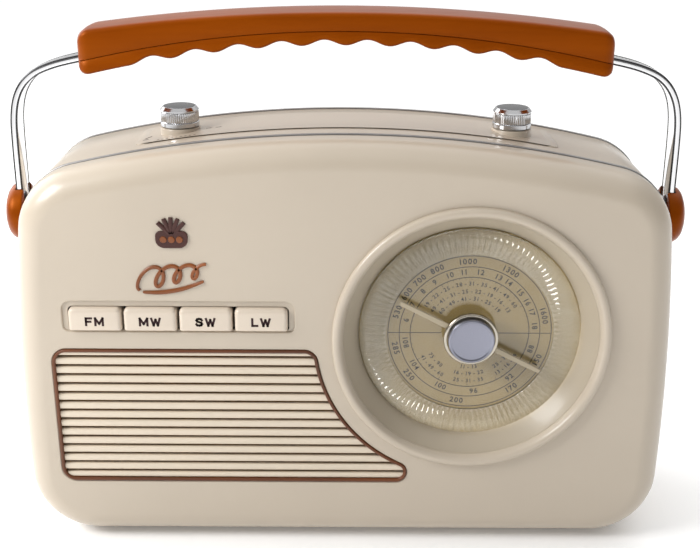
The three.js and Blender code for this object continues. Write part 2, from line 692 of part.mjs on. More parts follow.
// A stroke of even width along a smooth route through [x, z] points, mirrored in X when side is -1.
function strokeShape(route, halfWidth, steps, side = 1) {
  const curve = new THREE.SplineCurve(route.map(([x, z]) => new THREE.Vector2(x, z)));
  const rim = (offset) => spread(0, 1, steps).map((share) => {
    const point = curve.getPointAt(share);
    const along = curve.getTangentAt(share);
    return new THREE.Vector2(side * (point.x + along.y * offset), point.y - along.x * offset);
  });
  return new THREE.Shape([...rim(halfWidth), ...rim(-halfWidth).reverse()]);
}

// A strap, from its pivot up the side of the case and over into the grip.
function strapSolid(side, halfThickness, halfWidth) {
  const shape = strokeShape(STRAP_ROUTE, halfThickness, 16, side);
  return plate(shape, PIVOT_Y - halfWidth, PIVOT_Y + halfWidth);
}

// A rod along the handle's pivot line, between two distances from the middle.
function pivotRod(radius, from, to, side) {
  return latheX([[0, from], [radius, from], [radius, to], [0, to]], side, 12);
}

function dropAt(x, radius) {
  return (x * x) / (2 * radius);
}

// Height of the grip's underside: a row of finger scallops with a ridge between each pair.
function gripUnderside(x) {
  const phase = x / SCALLOP_PITCH - Math.floor(x / SCALLOP_PITCH);
  const scalloped = Math.abs(x) < (SCALLOP_COUNT / 2) * SCALLOP_PITCH;
  const hollow = scalloped ? SCALLOP_DEPTH * 4 * phase * (1 - phase) : 0;
  return SCALLOP_LINE_Z - dropAt(x, SCALLOP_LINE_RADIUS) + hollow;
}

// One half of the grip, lofted along X between two heights, with its long outer edges rounded.
function gripHalf(stations, parting, outer, radius) {
  const steps = 2;
  const rings = stations.map(([x, shrink]) => {
    const direction = Math.sign(outer(x) - parting(x));
    const width = GRIP_HALF_WIDTH - shrink;
    const far = outer(x) - direction * shrink;
    const edge = [];
    for (let i = 0; i <= steps; i += 1) {
      const angle = (i / steps) * (Math.PI / 2);
      edge.push([width - radius * (1 - Math.cos(angle)), far - direction * radius * (1 - Math.sin(angle))]);
    }
    const halfSection = [[width, parting(x)], ...edge];
    const mirrored = halfSection.map(([y, z]) => [-y, z]).reverse();
    return [...halfSection, ...mirrored].map(([y, z]) => new THREE.Vector3(x, PIVOT_Y + y, z));
  });
  return loft(rings);
}

function buildHandle() {
  const parting = (x) => PARTING_Z - dropAt(x, PARTING_RADIUS);
  const top = (x) => GRIP_TOP_Z - dropAt(x, GRIP_TOP_RADIUS);
  const endShrink = 2;
  const shoulder = GRIP_HALF_LENGTH - endShrink;
  const scalloped = (SCALLOP_COUNT / 2) * SCALLOP_PITCH;
  const scallopStations = [-shoulder, ...spread(-scalloped, scalloped, 4 * SCALLOP_COUNT), shoulder];
  const withEnds = (stations) => [
    [-GRIP_HALF_LENGTH, endShrink],
    ...stations.map((x) => [x, 0]),
    [GRIP_HALF_LENGTH, endShrink],
  ];
  const pockets = [-1, 1].map((side) => strapSolid(side, STRAP_THICKNESS / 2 + GAP, STRAP_WIDTH / 2 + GAP));
  const topStations = withEnds(spread(-shoulder, shoulder, 14));
  const upper = gripHalf(topStations, (x) => parting(x) + GAP / 2, top, 4);
  const lower = gripHalf(withEnds(scallopStations), (x) => parting(x) - GAP / 2, gripUnderside, 2.5);
  addPart(radio, "grip_upper", cut(upper, ...pockets), CARAMEL);
  addPart(radio, "grip_lower", cut(lower, ...pockets), CARAMEL);

  const hole = PIN_RADIUS + GAP;
  for (const [name, side] of Object.entries({ left: -1, right: 1 })) {
    const bore = pivotRod(hole, 130, 150, side);
    const strap = cut(strapSolid(side, STRAP_THICKNESS / 2, STRAP_WIDTH / 2), bore);
    addPart(radio, `handle_arm_${name}`, strap, CHROME);
    const dome = [
      [0, CAP_INNER_X], [CAP_RADIUS, CAP_INNER_X], [CAP_RADIUS, CAP_RIM_X],
      [CAP_RADIUS - 1, CAP_RIM_X + 2.6], [CAP_RADIUS - 3.4, CAP_OUTER_X - 0.9],
      [CAP_RADIUS - 7, CAP_OUTER_X], [0, CAP_OUTER_X],
    ];
    const [slotFrom, slotTo] = side < 0 ? [-CAP_SLOT.x1, -CAP_SLOT.x0] : [CAP_SLOT.x0, CAP_SLOT.x1];
    const halfSlot = STRAP_WIDTH / 2 + GAP;
    const slot = block(slotFrom, slotTo, PIVOT_Y - halfSlot, PIVOT_Y + halfSlot, CAP_SLOT.z0, CAP_SLOT.z1);
    addPart(radio, `pivot_cap_${name}`, cut(latheX(dome, side, 24), slot, bore), CARAMEL);
    const pin = [
      [0, 132], [PIN_INNER_RADIUS, 132], [PIN_INNER_RADIUS, 134.5], [PIN_RADIUS, 134.5],
      [PIN_RADIUS, 141.2], [PIN_SHOULDER_RADIUS, 141.2], [PIN_SHOULDER_RADIUS, 143.6],
      [PIN_RADIUS, 143.6], [PIN_RADIUS, PIN_END_X], [0, PIN_END_X],
    ];
    addPart(radio, `pivot_pin_${name}`, latheX(pin, side, 12), STEEL);
  }
}

// A gear with straight-sided teeth about a line along +Y, with a tooth or a gap on the +X side.
function gearSolid(x, z, startAngle, bore) {
  const pitchRadius = (GEAR_TEETH * GEAR_MODULE) / 2;
  const tip = pitchRadius + 0.8 * GEAR_MODULE;
  const root = pitchRadius - 1.15 * GEAR_MODULE;
  const pitchAngle = (2 * Math.PI) / GEAR_TEETH;
  const shape = [];
  for (let tooth = 0; tooth < GEAR_TEETH; tooth += 1) {
    const middle = startAngle + tooth * pitchAngle;
    const corners = [[root, -0.3], [tip, -0.13], [tip, 0.13], [root, 0.3]];
    for (const [radius, share] of corners) {
      const angle = middle + share * pitchAngle;
      shape.push(new THREE.Vector2(x + radius * Math.cos(angle), z + radius * Math.sin(angle)));
    }
  }
  const wheel = plate(new THREE.Shape(shape), GEAR_FRONT_Y, GEAR_BACK_Y);
  return join(wheel, rodY(bore, GEAR_FRONT_Y - 2, GEAR_BACK_Y + 2, x, z, 20));
}

// Dial: fixed bezel and scale, and the turning disc, pointer and hub on the tuning shaft.
function buildDial() {
  const bezel = [
    [BOWL_FLOOR_RADIUS, SCALE_Y - GAP], [53.6, SCALE_Y - GAP],
    [BOWL_RADIUS, -38], [BOWL_RADIUS, FACE_Y - GAP],
    [BEZEL_RADIUS, FACE_Y - GAP], [BEZEL_RADIUS, -44.2],
    [59.6, -45.2], [58.4, BEZEL_FRONT_Y], [57.2, -45.2],
    [55.8, -43.8], [BOWL_FLOOR_RADIUS, -33.8], [BOWL_FLOOR_RADIUS, SCALE_Y - GAP],
  ];
  addPart(radio, "dial_bezel", latheY(bezel, DIAL_X, DIAL_Z, 36), CREAM);

  const running = SHAFT_RADIUS + GAP;
  const scale = [
    [running, SCALE_Y], [SCALE_RADIUS, SCALE_Y], [SCALE_RADIUS, SCALE_Y + 1], [SLEEVE_RADIUS, SCALE_Y + 1],
    [SLEEVE_RADIUS, SCALE_Y + 3.4], [running, SCALE_Y + 3.4], [running, SCALE_Y],
  ];
  addPart(radio, "scale_plate", latheY(scale, DIAL_X, DIAL_Z, 24), GOLD);

  const disc = [
    [running, DISC_BACK_Y], [DISC_RADIUS, DISC_BACK_Y], [DISC_RADIUS, DISC_FRONT_Y + 0.8],
    [DISC_RADIUS - 0.8, DISC_FRONT_Y], [running, DISC_FRONT_Y], [running, DISC_BACK_Y],
  ];
  addPart(radio, "tuning_dial", latheY(disc, DIAL_X, DIAL_Z, 36), CLEAR);

  const along = new THREE.Vector2(Math.cos(POINTER_ANGLE), Math.sin(POINTER_ANGLE));
  const corner = (reach, aside) => new THREE.Vector2(
    DIAL_X + along.x * reach - along.y * aside,
    DIAL_Z + along.y * reach + along.x * aside,
  );
  const needle = new THREE.Shape([
    corner(POINTER_REACH, 1), corner(0, 2), corner(-POINTER_REACH, 1),
    corner(-POINTER_REACH, -1), corner(0, -2), corner(POINTER_REACH, -1),
  ]);
  const needleBack = DISC_FRONT_Y - GAP;
  const eye = rodY(8, needleBack - 1, needleBack, DIAL_X, DIAL_Z, 24);
  const shaftHole = rodY(running, needleBack - 2, needleBack + 1, DIAL_X, DIAL_Z, 20);
  const pointer = cut(join(plate(needle, needleBack - 1, needleBack), eye), shaftHole);
  addPart(radio, "dial_pointer", pointer, CREAM);

  const hubBack = needleBack - 1 - GAP;
  const collar = [
    [COLLAR_BORE, hubBack], [COLLAR_RADIUS, hubBack], [COLLAR_RADIUS, hubBack - 1.4],
    [COLLAR_RADIUS - 0.4, hubBack - 1.8], [COLLAR_BORE, hubBack - 1.8], [COLLAR_BORE, hubBack],
  ];
  addPart(radio, "dial_collar", latheY(collar, DIAL_X, DIAL_Z, 20), SILVER);
  const cap = [
    [0, hubBack - 2.4], [running, hubBack - 2.4], [running, hubBack], [CAP_FACE_RADIUS, hubBack],
    [CAP_FACE_RADIUS, hubBack - 3.5], [CAP_FACE_RADIUS - 0.5, CAP_FACE_Y + 0.1], [0, CAP_FACE_Y],
  ];
  addPart(radio, "dial_cap", latheY(cap, DIAL_X, DIAL_Z, 20), STEEL);

  const centreDistance = GEAR_TEETH * GEAR_MODULE;
  const capacitorZ = DIAL_Z - centreDistance;
  const halfPitch = Math.PI / GEAR_TEETH;
  const drive = join(
    gearSolid(DIAL_X, DIAL_Z, -Math.PI / 2, 5.5),
    rodY(SHAFT_RADIUS, hubBack - 2.1, TUNING_SHAFT_END_Y, DIAL_X, DIAL_Z, 20),
  );
  addPart(radio, "tuning_gear", drive, BRASS);
  const driven = join(
    gearSolid(DIAL_X, capacitorZ, Math.PI / 2 + halfPitch, 5),
    rodY(CAPACITOR.shaft, GEAR_FRONT_Y, CAPACITOR.y0 + 6, DIAL_X, capacitorZ, 16),
  );
  addPart(radio, "capacitor_gear", driven, BRASS);
  const capacitor = cut(
    block(
      DIAL_X - CAPACITOR.halfWidth, DIAL_X + CAPACITOR.halfWidth, CAPACITOR.y0, CAPACITOR.y1,
      capacitorZ - CAPACITOR.halfHeight, capacitorZ + CAPACITOR.halfHeight,
    ),
    rodY(CAPACITOR.shaft + GAP, CAPACITOR.y0 - 1, CAPACITOR.y0 + 7, DIAL_X, capacitorZ, 16),
  );
  addPart(radio, "tuning_capacitor", capacitor, STEEL);
}

// Loudspeaker and its slatted grille.
function buildSpeaker() {
  const front = FACE_Y - 0.5;
  const back = FACE_Y + 0.9;
  const rim = cut(plate(grilleShape(0), front, back), plate(grilleShape(TRIM_WIDTH), front - 1, back + 1));
  addPart(radio, "grille_trim", rim, COPPER);
  const panelShape = grilleShape(TRIM_WIDTH + GAP);
  const slotArea = plate(grilleShape(TRIM_WIDTH + SLAT_BORDER), SLAT_FRONT_Y - 1, SLAT_BACK_Y + 1);
  const slots = [];
  for (let i = 0; i < SLOT_COUNT; i += 1) {
    const z = FIRST_SLOT_Z - i * SLOT_PITCH;
    const slit = block(
      GRILLE_LEFT_X, DIAL_X, SLAT_FRONT_Y - 2, SLAT_BACK_Y + 2, z - SLOT_HEIGHT / 2, z + SLOT_HEIGHT / 2,
    );
    slots.push(common(slit, slotArea));
  }
  addPart(radio, "speaker_grille", cut(plate(panelShape, SLAT_FRONT_Y, SLAT_BACK_Y), ...slots), CREAM);

  const lip = SPEAKER_FRONT_Y;
  const deep = SPEAKER_FRONT_Y + SPEAKER_DEPTH;
  const inner = SPEAKER_RADIUS - 6;
  const throat = MAGNET_RADIUS - 4;
  const basket = [
    [inner, lip], [SPEAKER_RADIUS, lip], [SPEAKER_RADIUS, lip + 2], [SPEAKER_RADIUS - 3, lip + 2],
    [throat + 6, deep], [throat, deep], [throat, deep - 1.5], [throat + 4.5, deep - 1.5],
    [inner, lip + 2.5], [inner, lip],
  ];
  addPart(radio, "speaker_frame", latheY(basket, SPEAKER_X, SPEAKER_Z, 20), STEEL);
  const edge = inner - 0.6;
  const cone = [
    [0, lip + 12], [9, lip + 12.6], [edge, lip + 0.6], [edge, lip + 1.8], [12, deep - 3], [0, deep - 3],
  ];
  addPart(radio, "speaker_cone", latheY(cone, SPEAKER_X, SPEAKER_Z, 20), PAPER);
  const magnet = rodY(MAGNET_RADIUS, deep + GAP, deep + MAGNET_DEPTH, SPEAKER_X, SPEAKER_Z, 20);
  addPart(radio, "speaker_magnet", magnet, STEEL);
}

// Band buttons, each on a stem that presses into the band switch.
function buildButtons() {
  for (let i = 0; i < BUTTON_COUNT; i += 1) {
    const x0 = BUTTON_LEFT_X + i * BUTTON_PITCH + GAP;
    const x1 = x0 + BUTTON_PITCH - 2 * GAP;
    const radius = BUTTON_CORNER;
    const outline = new THREE.Shape();
    outline.moveTo(x0, BUTTON_BOTTOM_Z);
    outline.lineTo(x1, BUTTON_BOTTOM_Z);
    outline.lineTo(x1, BUTTON_TOP_Z - radius);
    outline.absarc(x1 - radius, BUTTON_TOP_Z - radius, radius, 0, Math.PI / 2, false);
    outline.lineTo(x0 + radius, BUTTON_TOP_Z);
    outline.absarc(x0 + radius, BUTTON_TOP_Z - radius, radius, Math.PI / 2, Math.PI, false);
    const middle = (x0 + x1) / 2;
    const cap = plate(outline, BUTTON_FRONT_Y, BUTTON_BACK_Y, 3);
    const { half, z0, z1 } = BUTTON_STEM;
    const stem = block(middle - half, middle + half, BUTTON_BACK_Y - 1, BUTTON_STEM_Y, z0, z1);
    addPart(radio, `band_button_${i + 1}`, join(cap, stem), CREAM);
  }
  addPart(radio, "band_switch", block(...BAND_SWITCH), BLACK);
}

// What the case holds, apart from the loudspeaker and the tuning drive.
function buildInside() {
  addPart(radio, "main_board", block(...MAIN_BOARD), BOARD);
  const rod = new THREE.CylinderGeometry(FERRITE_ROD.radius, FERRITE_ROD.radius, FERRITE_ROD.length, 16);
  addPart(radio, "ferrite_rod", rod.rotateZ(Math.PI / 2).translate(0, FERRITE_ROD.y, FERRITE_ROD.z), FERRITE);
  const transformer = join(block(...TRANSFORMER_STACK), block(...TRANSFORMER_WINDING));
  addPart(radio, "transformer", transformer, COPPER_WOUND);

  const { x0, x1, y0, y1, z0, z1, wall } = BATTERY_BAY;
  const holder = cut(
    block(x0, x1, y0, y1, z0, z1),
    block(x0 + wall, x1 - wall, y0 + wall, y1 + wall, z0 + wall, z1 - wall),
  );
  addPart(radio, "battery_holder", holder, BLACK);
  const cells = [];
  for (const x of CELL.xs) {
    for (const z of CELL.zs) {
      const cell = new THREE.CylinderGeometry(CELL.radius, CELL.radius, CELL.length, 16);
      cells.push(cell.rotateZ(Math.PI / 2).translate(x, CELL.y, z));
    }
  }
  addPart(radio, "battery_pack", join(...cells), JACKET);
}

// Raised emblem and a flowing stroke on the front.
function buildEmblems() {
  const back = FACE_Y - GAP;
  const front = back - EMBLEM_PROUD;
  addPart(radio, "badge", rodY(BADGE.radius, front, back, BADGE.x, BADGE.z, 20), CARAMEL);
  const stroke = strokeShape(FLOURISH_ROUTE, FLOURISH_HALF_WIDTH, 20);
  addPart(radio, "name_flourish", plate(stroke, front, back), CARAMEL);
}

buildCase();
buildBack();
buildAerial();
buildTop();
buildHandle();
buildDial();
buildSpeaker();
buildButtons();
buildInside();
buildEmblems();

export default radio;
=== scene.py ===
"""Looks of the tabletop radio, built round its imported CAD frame. Shapes are worked out in millimetres."""
import math

import bmesh
import bpy
from mathutils import Matrix, Vector


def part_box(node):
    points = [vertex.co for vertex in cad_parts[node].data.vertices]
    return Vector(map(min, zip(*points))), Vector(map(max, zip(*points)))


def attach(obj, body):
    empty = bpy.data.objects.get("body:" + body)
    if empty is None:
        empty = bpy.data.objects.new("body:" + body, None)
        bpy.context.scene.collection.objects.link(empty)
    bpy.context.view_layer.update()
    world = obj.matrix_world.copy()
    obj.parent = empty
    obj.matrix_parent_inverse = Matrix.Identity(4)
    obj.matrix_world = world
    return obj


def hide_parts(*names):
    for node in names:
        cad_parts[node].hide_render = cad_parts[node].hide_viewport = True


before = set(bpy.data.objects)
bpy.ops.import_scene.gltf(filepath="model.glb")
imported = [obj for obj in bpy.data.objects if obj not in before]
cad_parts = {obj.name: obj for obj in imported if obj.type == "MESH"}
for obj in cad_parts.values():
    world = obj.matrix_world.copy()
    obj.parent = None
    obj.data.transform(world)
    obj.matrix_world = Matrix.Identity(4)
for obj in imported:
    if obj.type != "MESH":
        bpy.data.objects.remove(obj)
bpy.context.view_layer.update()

MM = 0.001
TAU = 2 * math.pi


def node_box(name):
    """Lowest and highest corner of a CAD node in millimetres."""
    low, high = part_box(name)
    return Vector(low) / MM, Vector(high) / MM


def node_middle(name):
    """The middle of a CAD node seen from the front, as x and z."""
    low, high = node_box(name)
    return (low.x + high.x) / 2, (low.z + high.z) / 2


# ---------- driving dimensions, from the frame where it has them ----------
SHELL_LOW, SHELL_HIGH = node_box("front_shell")
COVER_LOW, COVER_HIGH = node_box("rear_cover")
BAND_LOW, BAND_HIGH = node_box("case_band")

HALF_WIDTH = SHELL_HIGH.x
TOP_Z = SHELL_HIGH.z
BOTTOM_Z = SHELL_LOW.z
ARCH_RADIUS = 515
SIDE_RADIUS = 960
SIDE_CROWN_Z = 54.5
UPPER_CORNER_RADIUS = 29.5
LOWER_CORNER_RADIUS = 30
EDGE_RADIUS = 12
WALL = 2.5

FACE_Y = SHELL_LOW.y
FRONT_RIM_Y = SHELL_HIGH.y
BAND_FRONT_Y = BAND_LOW.y
BAND_REAR_Y = BAND_HIGH.y
REAR_RIM_Y = COVER_LOW.y
BACK_Y = COVER_HIGH.y

DIAL_X, DIAL_Z = node_middle("dial_bezel")
DIAL_CENTRE = (DIAL_X, 0, DIAL_Z)
BEZEL_FRONT_Y = node_box("dial_bezel")[0].y
BEZEL_RADIUS = 60.6
SCALE_Y = node_box("scale_plate")[0].y
DISC_FRONT_Y, DISC_BACK_Y = (corner.y for corner in node_box("tuning_dial"))

PIVOT_Y = 1.5
PIVOT_Z = 147
KNOB_X = 73.5
PANEL_PROUD = 0.5
BOSS_RADIUS = 8.8
BOSS_ROOT = -1.6
BOSS_TOP = 2.6
TRIM_PROUD = 0.5
REAR_INSET = 1.5

GRILLE_LOW, GRILLE_HIGH = node_box("grille_trim")
GRILLE_LEFT_X = GRILLE_LOW.x
GRILLE_TOP_Z = GRILLE_HIGH.z
GRILLE_BOTTOM_Z = GRILLE_LOW.z
GRILLE_CORNER = 6.5
BAY_RADIUS = 67.6
UPPER_FILLET = 6
LOWER_FILLET = 4.9
SLOT_COUNT = 14
SLOT_PITCH = 4.36
SLOT_HEIGHT = 1.25
FIRST_SLOT_Z = 93.69
GRILLE_BORDER = 1.35


# ---------- materials ----------
def new_material(name):
    material = bpy.data.materials.new(name)
    material.use_nodes = True
    nodes = material.node_tree.nodes
    return material, nodes, material.node_tree.links, nodes["Principled BSDF"]


def add_noise(nodes, links, scale, detail=4.0, stretch=(1, 1, 1)):
    """A noise field fixed to the piece; scale is in waves per metre."""
    place = nodes.new("ShaderNodeTexCoord")
    mapping = nodes.new("ShaderNodeMapping")
    mapping.inputs["Scale"].default_value = stretch
    noise = nodes.new("ShaderNodeTexNoise")
    noise.inputs["Scale"].default_value = scale
    noise.inputs["Detail"].default_value = detail
    links.new(place.outputs["Object"], mapping.inputs["Vector"])
    links.new(mapping.outputs["Vector"], noise.inputs["Vector"])
    return noise.outputs["Fac"]


def add_ramp(nodes, links, value, stops):
    ramp = nodes.new("ShaderNodeValToRGB")
    elements = ramp.color_ramp.elements
    while len(elements) < len(stops):
        elements.new(0.5)
    for element, (place, colour) in zip(elements, stops):
        element.position = place
        element.color = (*colour, 1)
    links.new(value, ramp.inputs["Fac"])
    return ramp.outputs["Color"]


def add_range(nodes, links, value, low, high):
    span = nodes.new("ShaderNodeMapRange")
    span.inputs["To Min"].default_value = low
    span.inputs["To Max"].default_value = high
    links.new(value, span.inputs["Value"])
    return span.outputs["Result"]


def add_bump(nodes, links, height, strength, distance, shader):
    bump = nodes.new("ShaderNodeBump")
    bump.inputs["Strength"].default_value = strength
    bump.inputs["Distance"].default_value = distance
    links.new(height, bump.inputs["Height"])
    links.new(bump.outputs["Normal"], shader.inputs["Normal"])


def plastic(name, colour, roughness=0.3, shift=0.04, coat=0.3, grain=900, bump=0.08, stretch=(1, 1, 1)):
    """Moulded plastic: slow colour drift, a fine orange-peel surface and a thin gloss."""
    material, nodes, links, shader = new_material(name)
    drift = add_noise(nodes, links, 14, 3)
    darker = tuple(c * (1 - shift) for c in colour)
    lighter = tuple(min(1, c * (1 + shift)) for c in colour)
    links.new(add_ramp(nodes, links, drift, [(0.35, darker), (0.65, lighter)]), shader.inputs["Base Color"])
    fine = add_noise(nodes, links, grain, 5, stretch)
    links.new(add_range(nodes, links, fine, roughness * 0.85, roughness * 1.2), shader.inputs["Roughness"])
    add_bump(nodes, links, fine, bump, 0.0001, shader)
    shader.inputs["Coat Weight"].default_value = coat
    shader.inputs["Coat Roughness"].default_value = 0.12
    return material


def metal(name, colour, roughness=0.15, stretch=(1, 1, 1), grain=600, bump=0.05):
    """Metal: faint tone drift, with a brushed or polished grain."""
    material, nodes, links, shader = new_material(name)
    drift = add_noise(nodes, links, 30, 2)
    darker = tuple(c * 0.92 for c in colour)
    links.new(add_ramp(nodes, links, drift, [(0.3, darker), (0.7, colour)]), shader.inputs["Base Color"])
    fine = add_noise(nodes, links, grain, 6, stretch)
    links.new(add_range(nodes, links, fine, roughness * 0.7, roughness * 1.4), shader.inputs["Roughness"])
    add_bump(nodes, links, fine, bump, 0.00005, shader)
    shader.inputs["Metallic"].default_value = 1
    return material


def matte(name, colour, roughness=0.8, grain=1500, bump=0.3, shift=0.12):
    """Rubber, card, paint or sintered stuff: rough, with a visible grain."""
    material, nodes, links, shader = new_material(name)
    fine = add_noise(nodes, links, grain, 6)
    darker = tuple(c * (1 - shift) for c in colour)
    lighter = tuple(c * (1 + shift) for c in colour)
    links.new(add_ramp(nodes, links, fine, [(0.3, darker), (0.7, lighter)]), shader.inputs["Base Color"])
    spread = add_range(nodes, links, fine, roughness * 0.9, min(1, roughness * 1.1))
    links.new(spread, shader.inputs["Roughness"])
    add_bump(nodes, links, fine, bump, 0.0001, shader)
    return material


def caramel_plastic():
    """Polished caramel moulding with faint lengthwise flow streaks."""
    material, nodes, links, shader = new_material("caramel")
    streak = add_noise(nodes, links, 60, 5, (0.12, 1, 1.6))
    stops = [(0.3, (0.18, 0.032, 0.001)), (0.5, (0.225, 0.043, 0.0012)), (0.72, (0.27, 0.056, 0.0016))]
    links.new(add_ramp(nodes, links, streak, stops), shader.inputs["Base Color"])
    fine = add_noise(nodes, links, 500, 4, (0.3, 1, 1))
    links.new(add_range(nodes, links, fine, 0.26, 0.38), shader.inputs["Roughness"])
    add_bump(nodes, links, fine, 0.06, 0.0001, shader)
    shader.inputs["Specular IOR Level"].default_value = 0.5
    shader.inputs["Specular Tint"].default_value = (0.9, 0.25, 0.03, 1)
    return material


def speaker_cloth():
    """Dark woven cloth behind the slats."""
    material, nodes, links, shader = new_material("speaker_cloth")
    place = nodes.new("ShaderNodeTexCoord")
    threads = []
    for direction in ("X", "Z"):
        wave = nodes.new("ShaderNodeTexWave")
        wave.bands_direction = direction
        wave.inputs["Scale"].default_value = 420
        wave.inputs["Distortion"].default_value = 0.6
        links.new(place.outputs["Object"], wave.inputs["Vector"])
        threads.append(wave.outputs["Fac"])
    weave = nodes.new("ShaderNodeMath")
    weave.operation = "MULTIPLY"
    links.new(threads[0], weave.inputs[0])
    links.new(threads[1], weave.inputs[1])
    stops = [(0.2, (0.11, 0.055, 0.018)), (0.8, (0.24, 0.13, 0.05))]
    links.new(add_ramp(nodes, links, weave.outputs["Value"], stops), shader.inputs["Base Color"])
    shader.inputs["Roughness"].default_value = 0.9
    add_bump(nodes, links, weave.outputs["Value"], 0.6, 0.0003, shader)
    return material


def acrylic(name, roughness, tint, transmission, coat=0.0):
    """Clear or slightly milky acrylic; roughness and tint each drift between two values."""
    material, nodes, links, shader = new_material(name)
    fine = add_noise(nodes, links, 120, 3)
    links.new(add_range(nodes, links, fine, *roughness), shader.inputs["Roughness"])
    stops = list(zip((0.3, 0.7), tint))
    links.new(add_ramp(nodes, links, fine, stops), shader.inputs["Base Color"])
    shader.inputs["Transmission Weight"].default_value = transmission
    shader.inputs["IOR"].default_value = 1.49
    shader.inputs["Coat Weight"].default_value = coat
    return material


CREAM = plastic("cream_plastic", (0.532, 0.456, 0.362), roughness=0.32, shift=0.02, coat=0.25)
# A darker copy of the case cream: painted shade for the bowl recessed inside the dial ring.
BOWL_PAINTED_SHADE = plastic("bowl_cream_painted_shade", (0.43, 0.365, 0.275), roughness=0.36, shift=0.03, coat=0.15)
BUTTON = plastic("button_plastic", (0.66, 0.565, 0.46), roughness=0.3, shift=0.02, coat=0.3)
SLAT = plastic("slat_plastic", (0.70, 0.60, 0.475), roughness=0.3, shift=0.02, coat=0.2)
CARAMEL = caramel_plastic()
CLOTH = speaker_cloth()
CLEAR = acrylic("clear_acrylic", (0.02, 0.07), ((0.97, 0.95, 0.90), (1.0, 0.99, 0.96)), 1)
RIB_CLEAR = acrylic("ribbed_acrylic", (0.03, 0.09), ((0.90, 0.85, 0.72), (0.97, 0.94, 0.84)), 0.86, 0.6)
TRIM_BROWN = plastic("copper_brown", (0.115, 0.030, 0.004), roughness=0.42, shift=0.25, coat=0.0)
EMBLEM = plastic("emblem_brown", (0.050, 0.008, 0.003), roughness=0.5, shift=0.2, coat=0.0)
SCRIPT = plastic("script_brown", (0.21, 0.055, 0.006), roughness=0.4, shift=0.25, coat=0.0)
TRIM_SILVER = metal("trim_silver", (0.36, 0.352, 0.345), roughness=0.38)
CHROME = metal("chrome", (0.86, 0.86, 0.87), roughness=0.07, bump=0.01)
KNOB_CHROME = metal("knob_chrome", (0.60, 0.60, 0.61), roughness=0.16, stretch=(1, 1, 8))
# Near-black metal for the lines along the strap edges: painted dark reflection on the chrome.
PAINTED_REFLECTION_DARK = metal("dark_chrome_painted_reflection", (0.06, 0.06, 0.062), roughness=0.18)
COLLAR = metal("hub_collar", (0.50, 0.46, 0.39), roughness=0.22)
# Dark metal for the knob tops: the chrome cap darkened as painted dark reflection.
KNOB_TOP_PAINTED_REFLECTION = metal("knob_top_painted_reflection", (0.13, 0.13, 0.135), roughness=0.22)
SPUN = metal("spun_hub", (0.28, 0.285, 0.34), roughness=0.3, grain=900, bump=0.03)
STEEL = metal("zinc_steel", (0.56, 0.56, 0.58), roughness=0.32)
BRASS = metal("brass", (0.72, 0.52, 0.22), roughness=0.25)
GOLD = plastic("scale_gold", (0.345, 0.255, 0.105), roughness=0.35, shift=0.06, coat=0.2, grain=1400)
INK = matte("scale_ink", (0.012, 0.007, 0.004), roughness=0.6, bump=0.02)
MAROON_INK = matte("button_ink", (0.028, 0.004, 0.005), roughness=0.7, bump=0.02)
POINTER = plastic("pointer_cream", (0.42, 0.35, 0.24), roughness=0.3, shift=0.03)
RUBBER = matte("rubber", (0.018, 0.018, 0.018))
BLACK = matte("black_plastic", (0.02, 0.02, 0.02), roughness=0.5)
PAPER = matte("cone_paper", (0.03, 0.027, 0.025), roughness=0.95)
BOARD = matte("board", (0.24, 0.15, 0.05), roughness=0.6, grain=300)
FERRITE = matte("ferrite", (0.04, 0.035, 0.03), roughness=0.7)
MAGNET = matte("magnet", (0.03, 0.03, 0.03), roughness=0.75)
WINDING = matte("winding", (0.22, 0.09, 0.03), roughness=0.5, grain=400)
CELL_JACKET = plastic("cell_jacket", (0.04, 0.09, 0.16), roughness=0.3, shift=0.1)
FRAME_PAINT = matte("frame_paint", (0.05, 0.05, 0.052), roughness=0.5)


# ---------- meshes ----------
def make_object(name, vertices, faces, material, smooth=35):
    """A mesh object from millimetre vertices; edges sharper than smooth degrees stay sharp."""
    mesh = bpy.data.meshes.new(name)
    mesh.from_pydata([Vector(v) * MM for v in vertices], [], faces)
    return finish_object(name, mesh, material, smooth)


def finish_object(name, mesh, material, smooth=35):
    """Merges doubled points, turns the faces out, and shades and links the mesh as an object."""
    work = bmesh.new()
    work.from_mesh(mesh)
    bmesh.ops.remove_doubles(work, verts=work.verts, dist=1e-7)
    bmesh.ops.recalc_face_normals(work, faces=work.faces)
    work.to_mesh(mesh)
    work.free()
    mesh.polygons.foreach_set("use_smooth", [True] * len(mesh.polygons))
    mesh.set_sharp_from_angle(angle=math.radians(smooth))
    mesh.materials.clear()
    mesh.materials.append(material)
    obj = bpy.data.objects.new(name, mesh)
    bpy.context.scene.collection.objects.link(obj)
    return obj


def place(obj, body, slot, *nodes):
    """Puts a finished piece on its body, in place of its CAD nodes; the slot argument is not used."""
    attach(obj, body)
    if nodes:
        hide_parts(*nodes)
    return obj


def soften(obj, width, segments=3, angle=40):
    """Rounds the piece's sharp edges by width millimetres."""
    bevel = obj.modifiers.new("rounding", "BEVEL")
    bevel.width = width * MM
    bevel.segments = segments
    bevel.limit_method = "ANGLE"
    bevel.angle_limit = math.radians(angle)
    bevel.use_clamp_overlap = True
    bevel.harden_normals = False
    shade = obj.modifiers.new("shading", "WEIGHTED_NORMAL")
    shade.keep_sharp = True
    return obj


def settle(obj):
    """Replaces a piece's mesh by what its modifiers make of it."""
    depsgraph = bpy.context.evaluated_depsgraph_get()
    mesh = bpy.data.meshes.new_from_object(obj.evaluated_get(depsgraph))
    obj.modifiers.clear()
    obj.data = mesh
    return obj


def combine(base, tools, operation="DIFFERENCE"):
    """Cuts the tools from the base, or adds them, and throws the tools away."""
    for tool in tools:
        step = base.modifiers.new("cut", "BOOLEAN")
        step.operation = operation
        step.solver = "EXACT"
        step.object = tool
    settle(base)
    for tool in tools:
        bpy.data.objects.remove(tool)
    return base


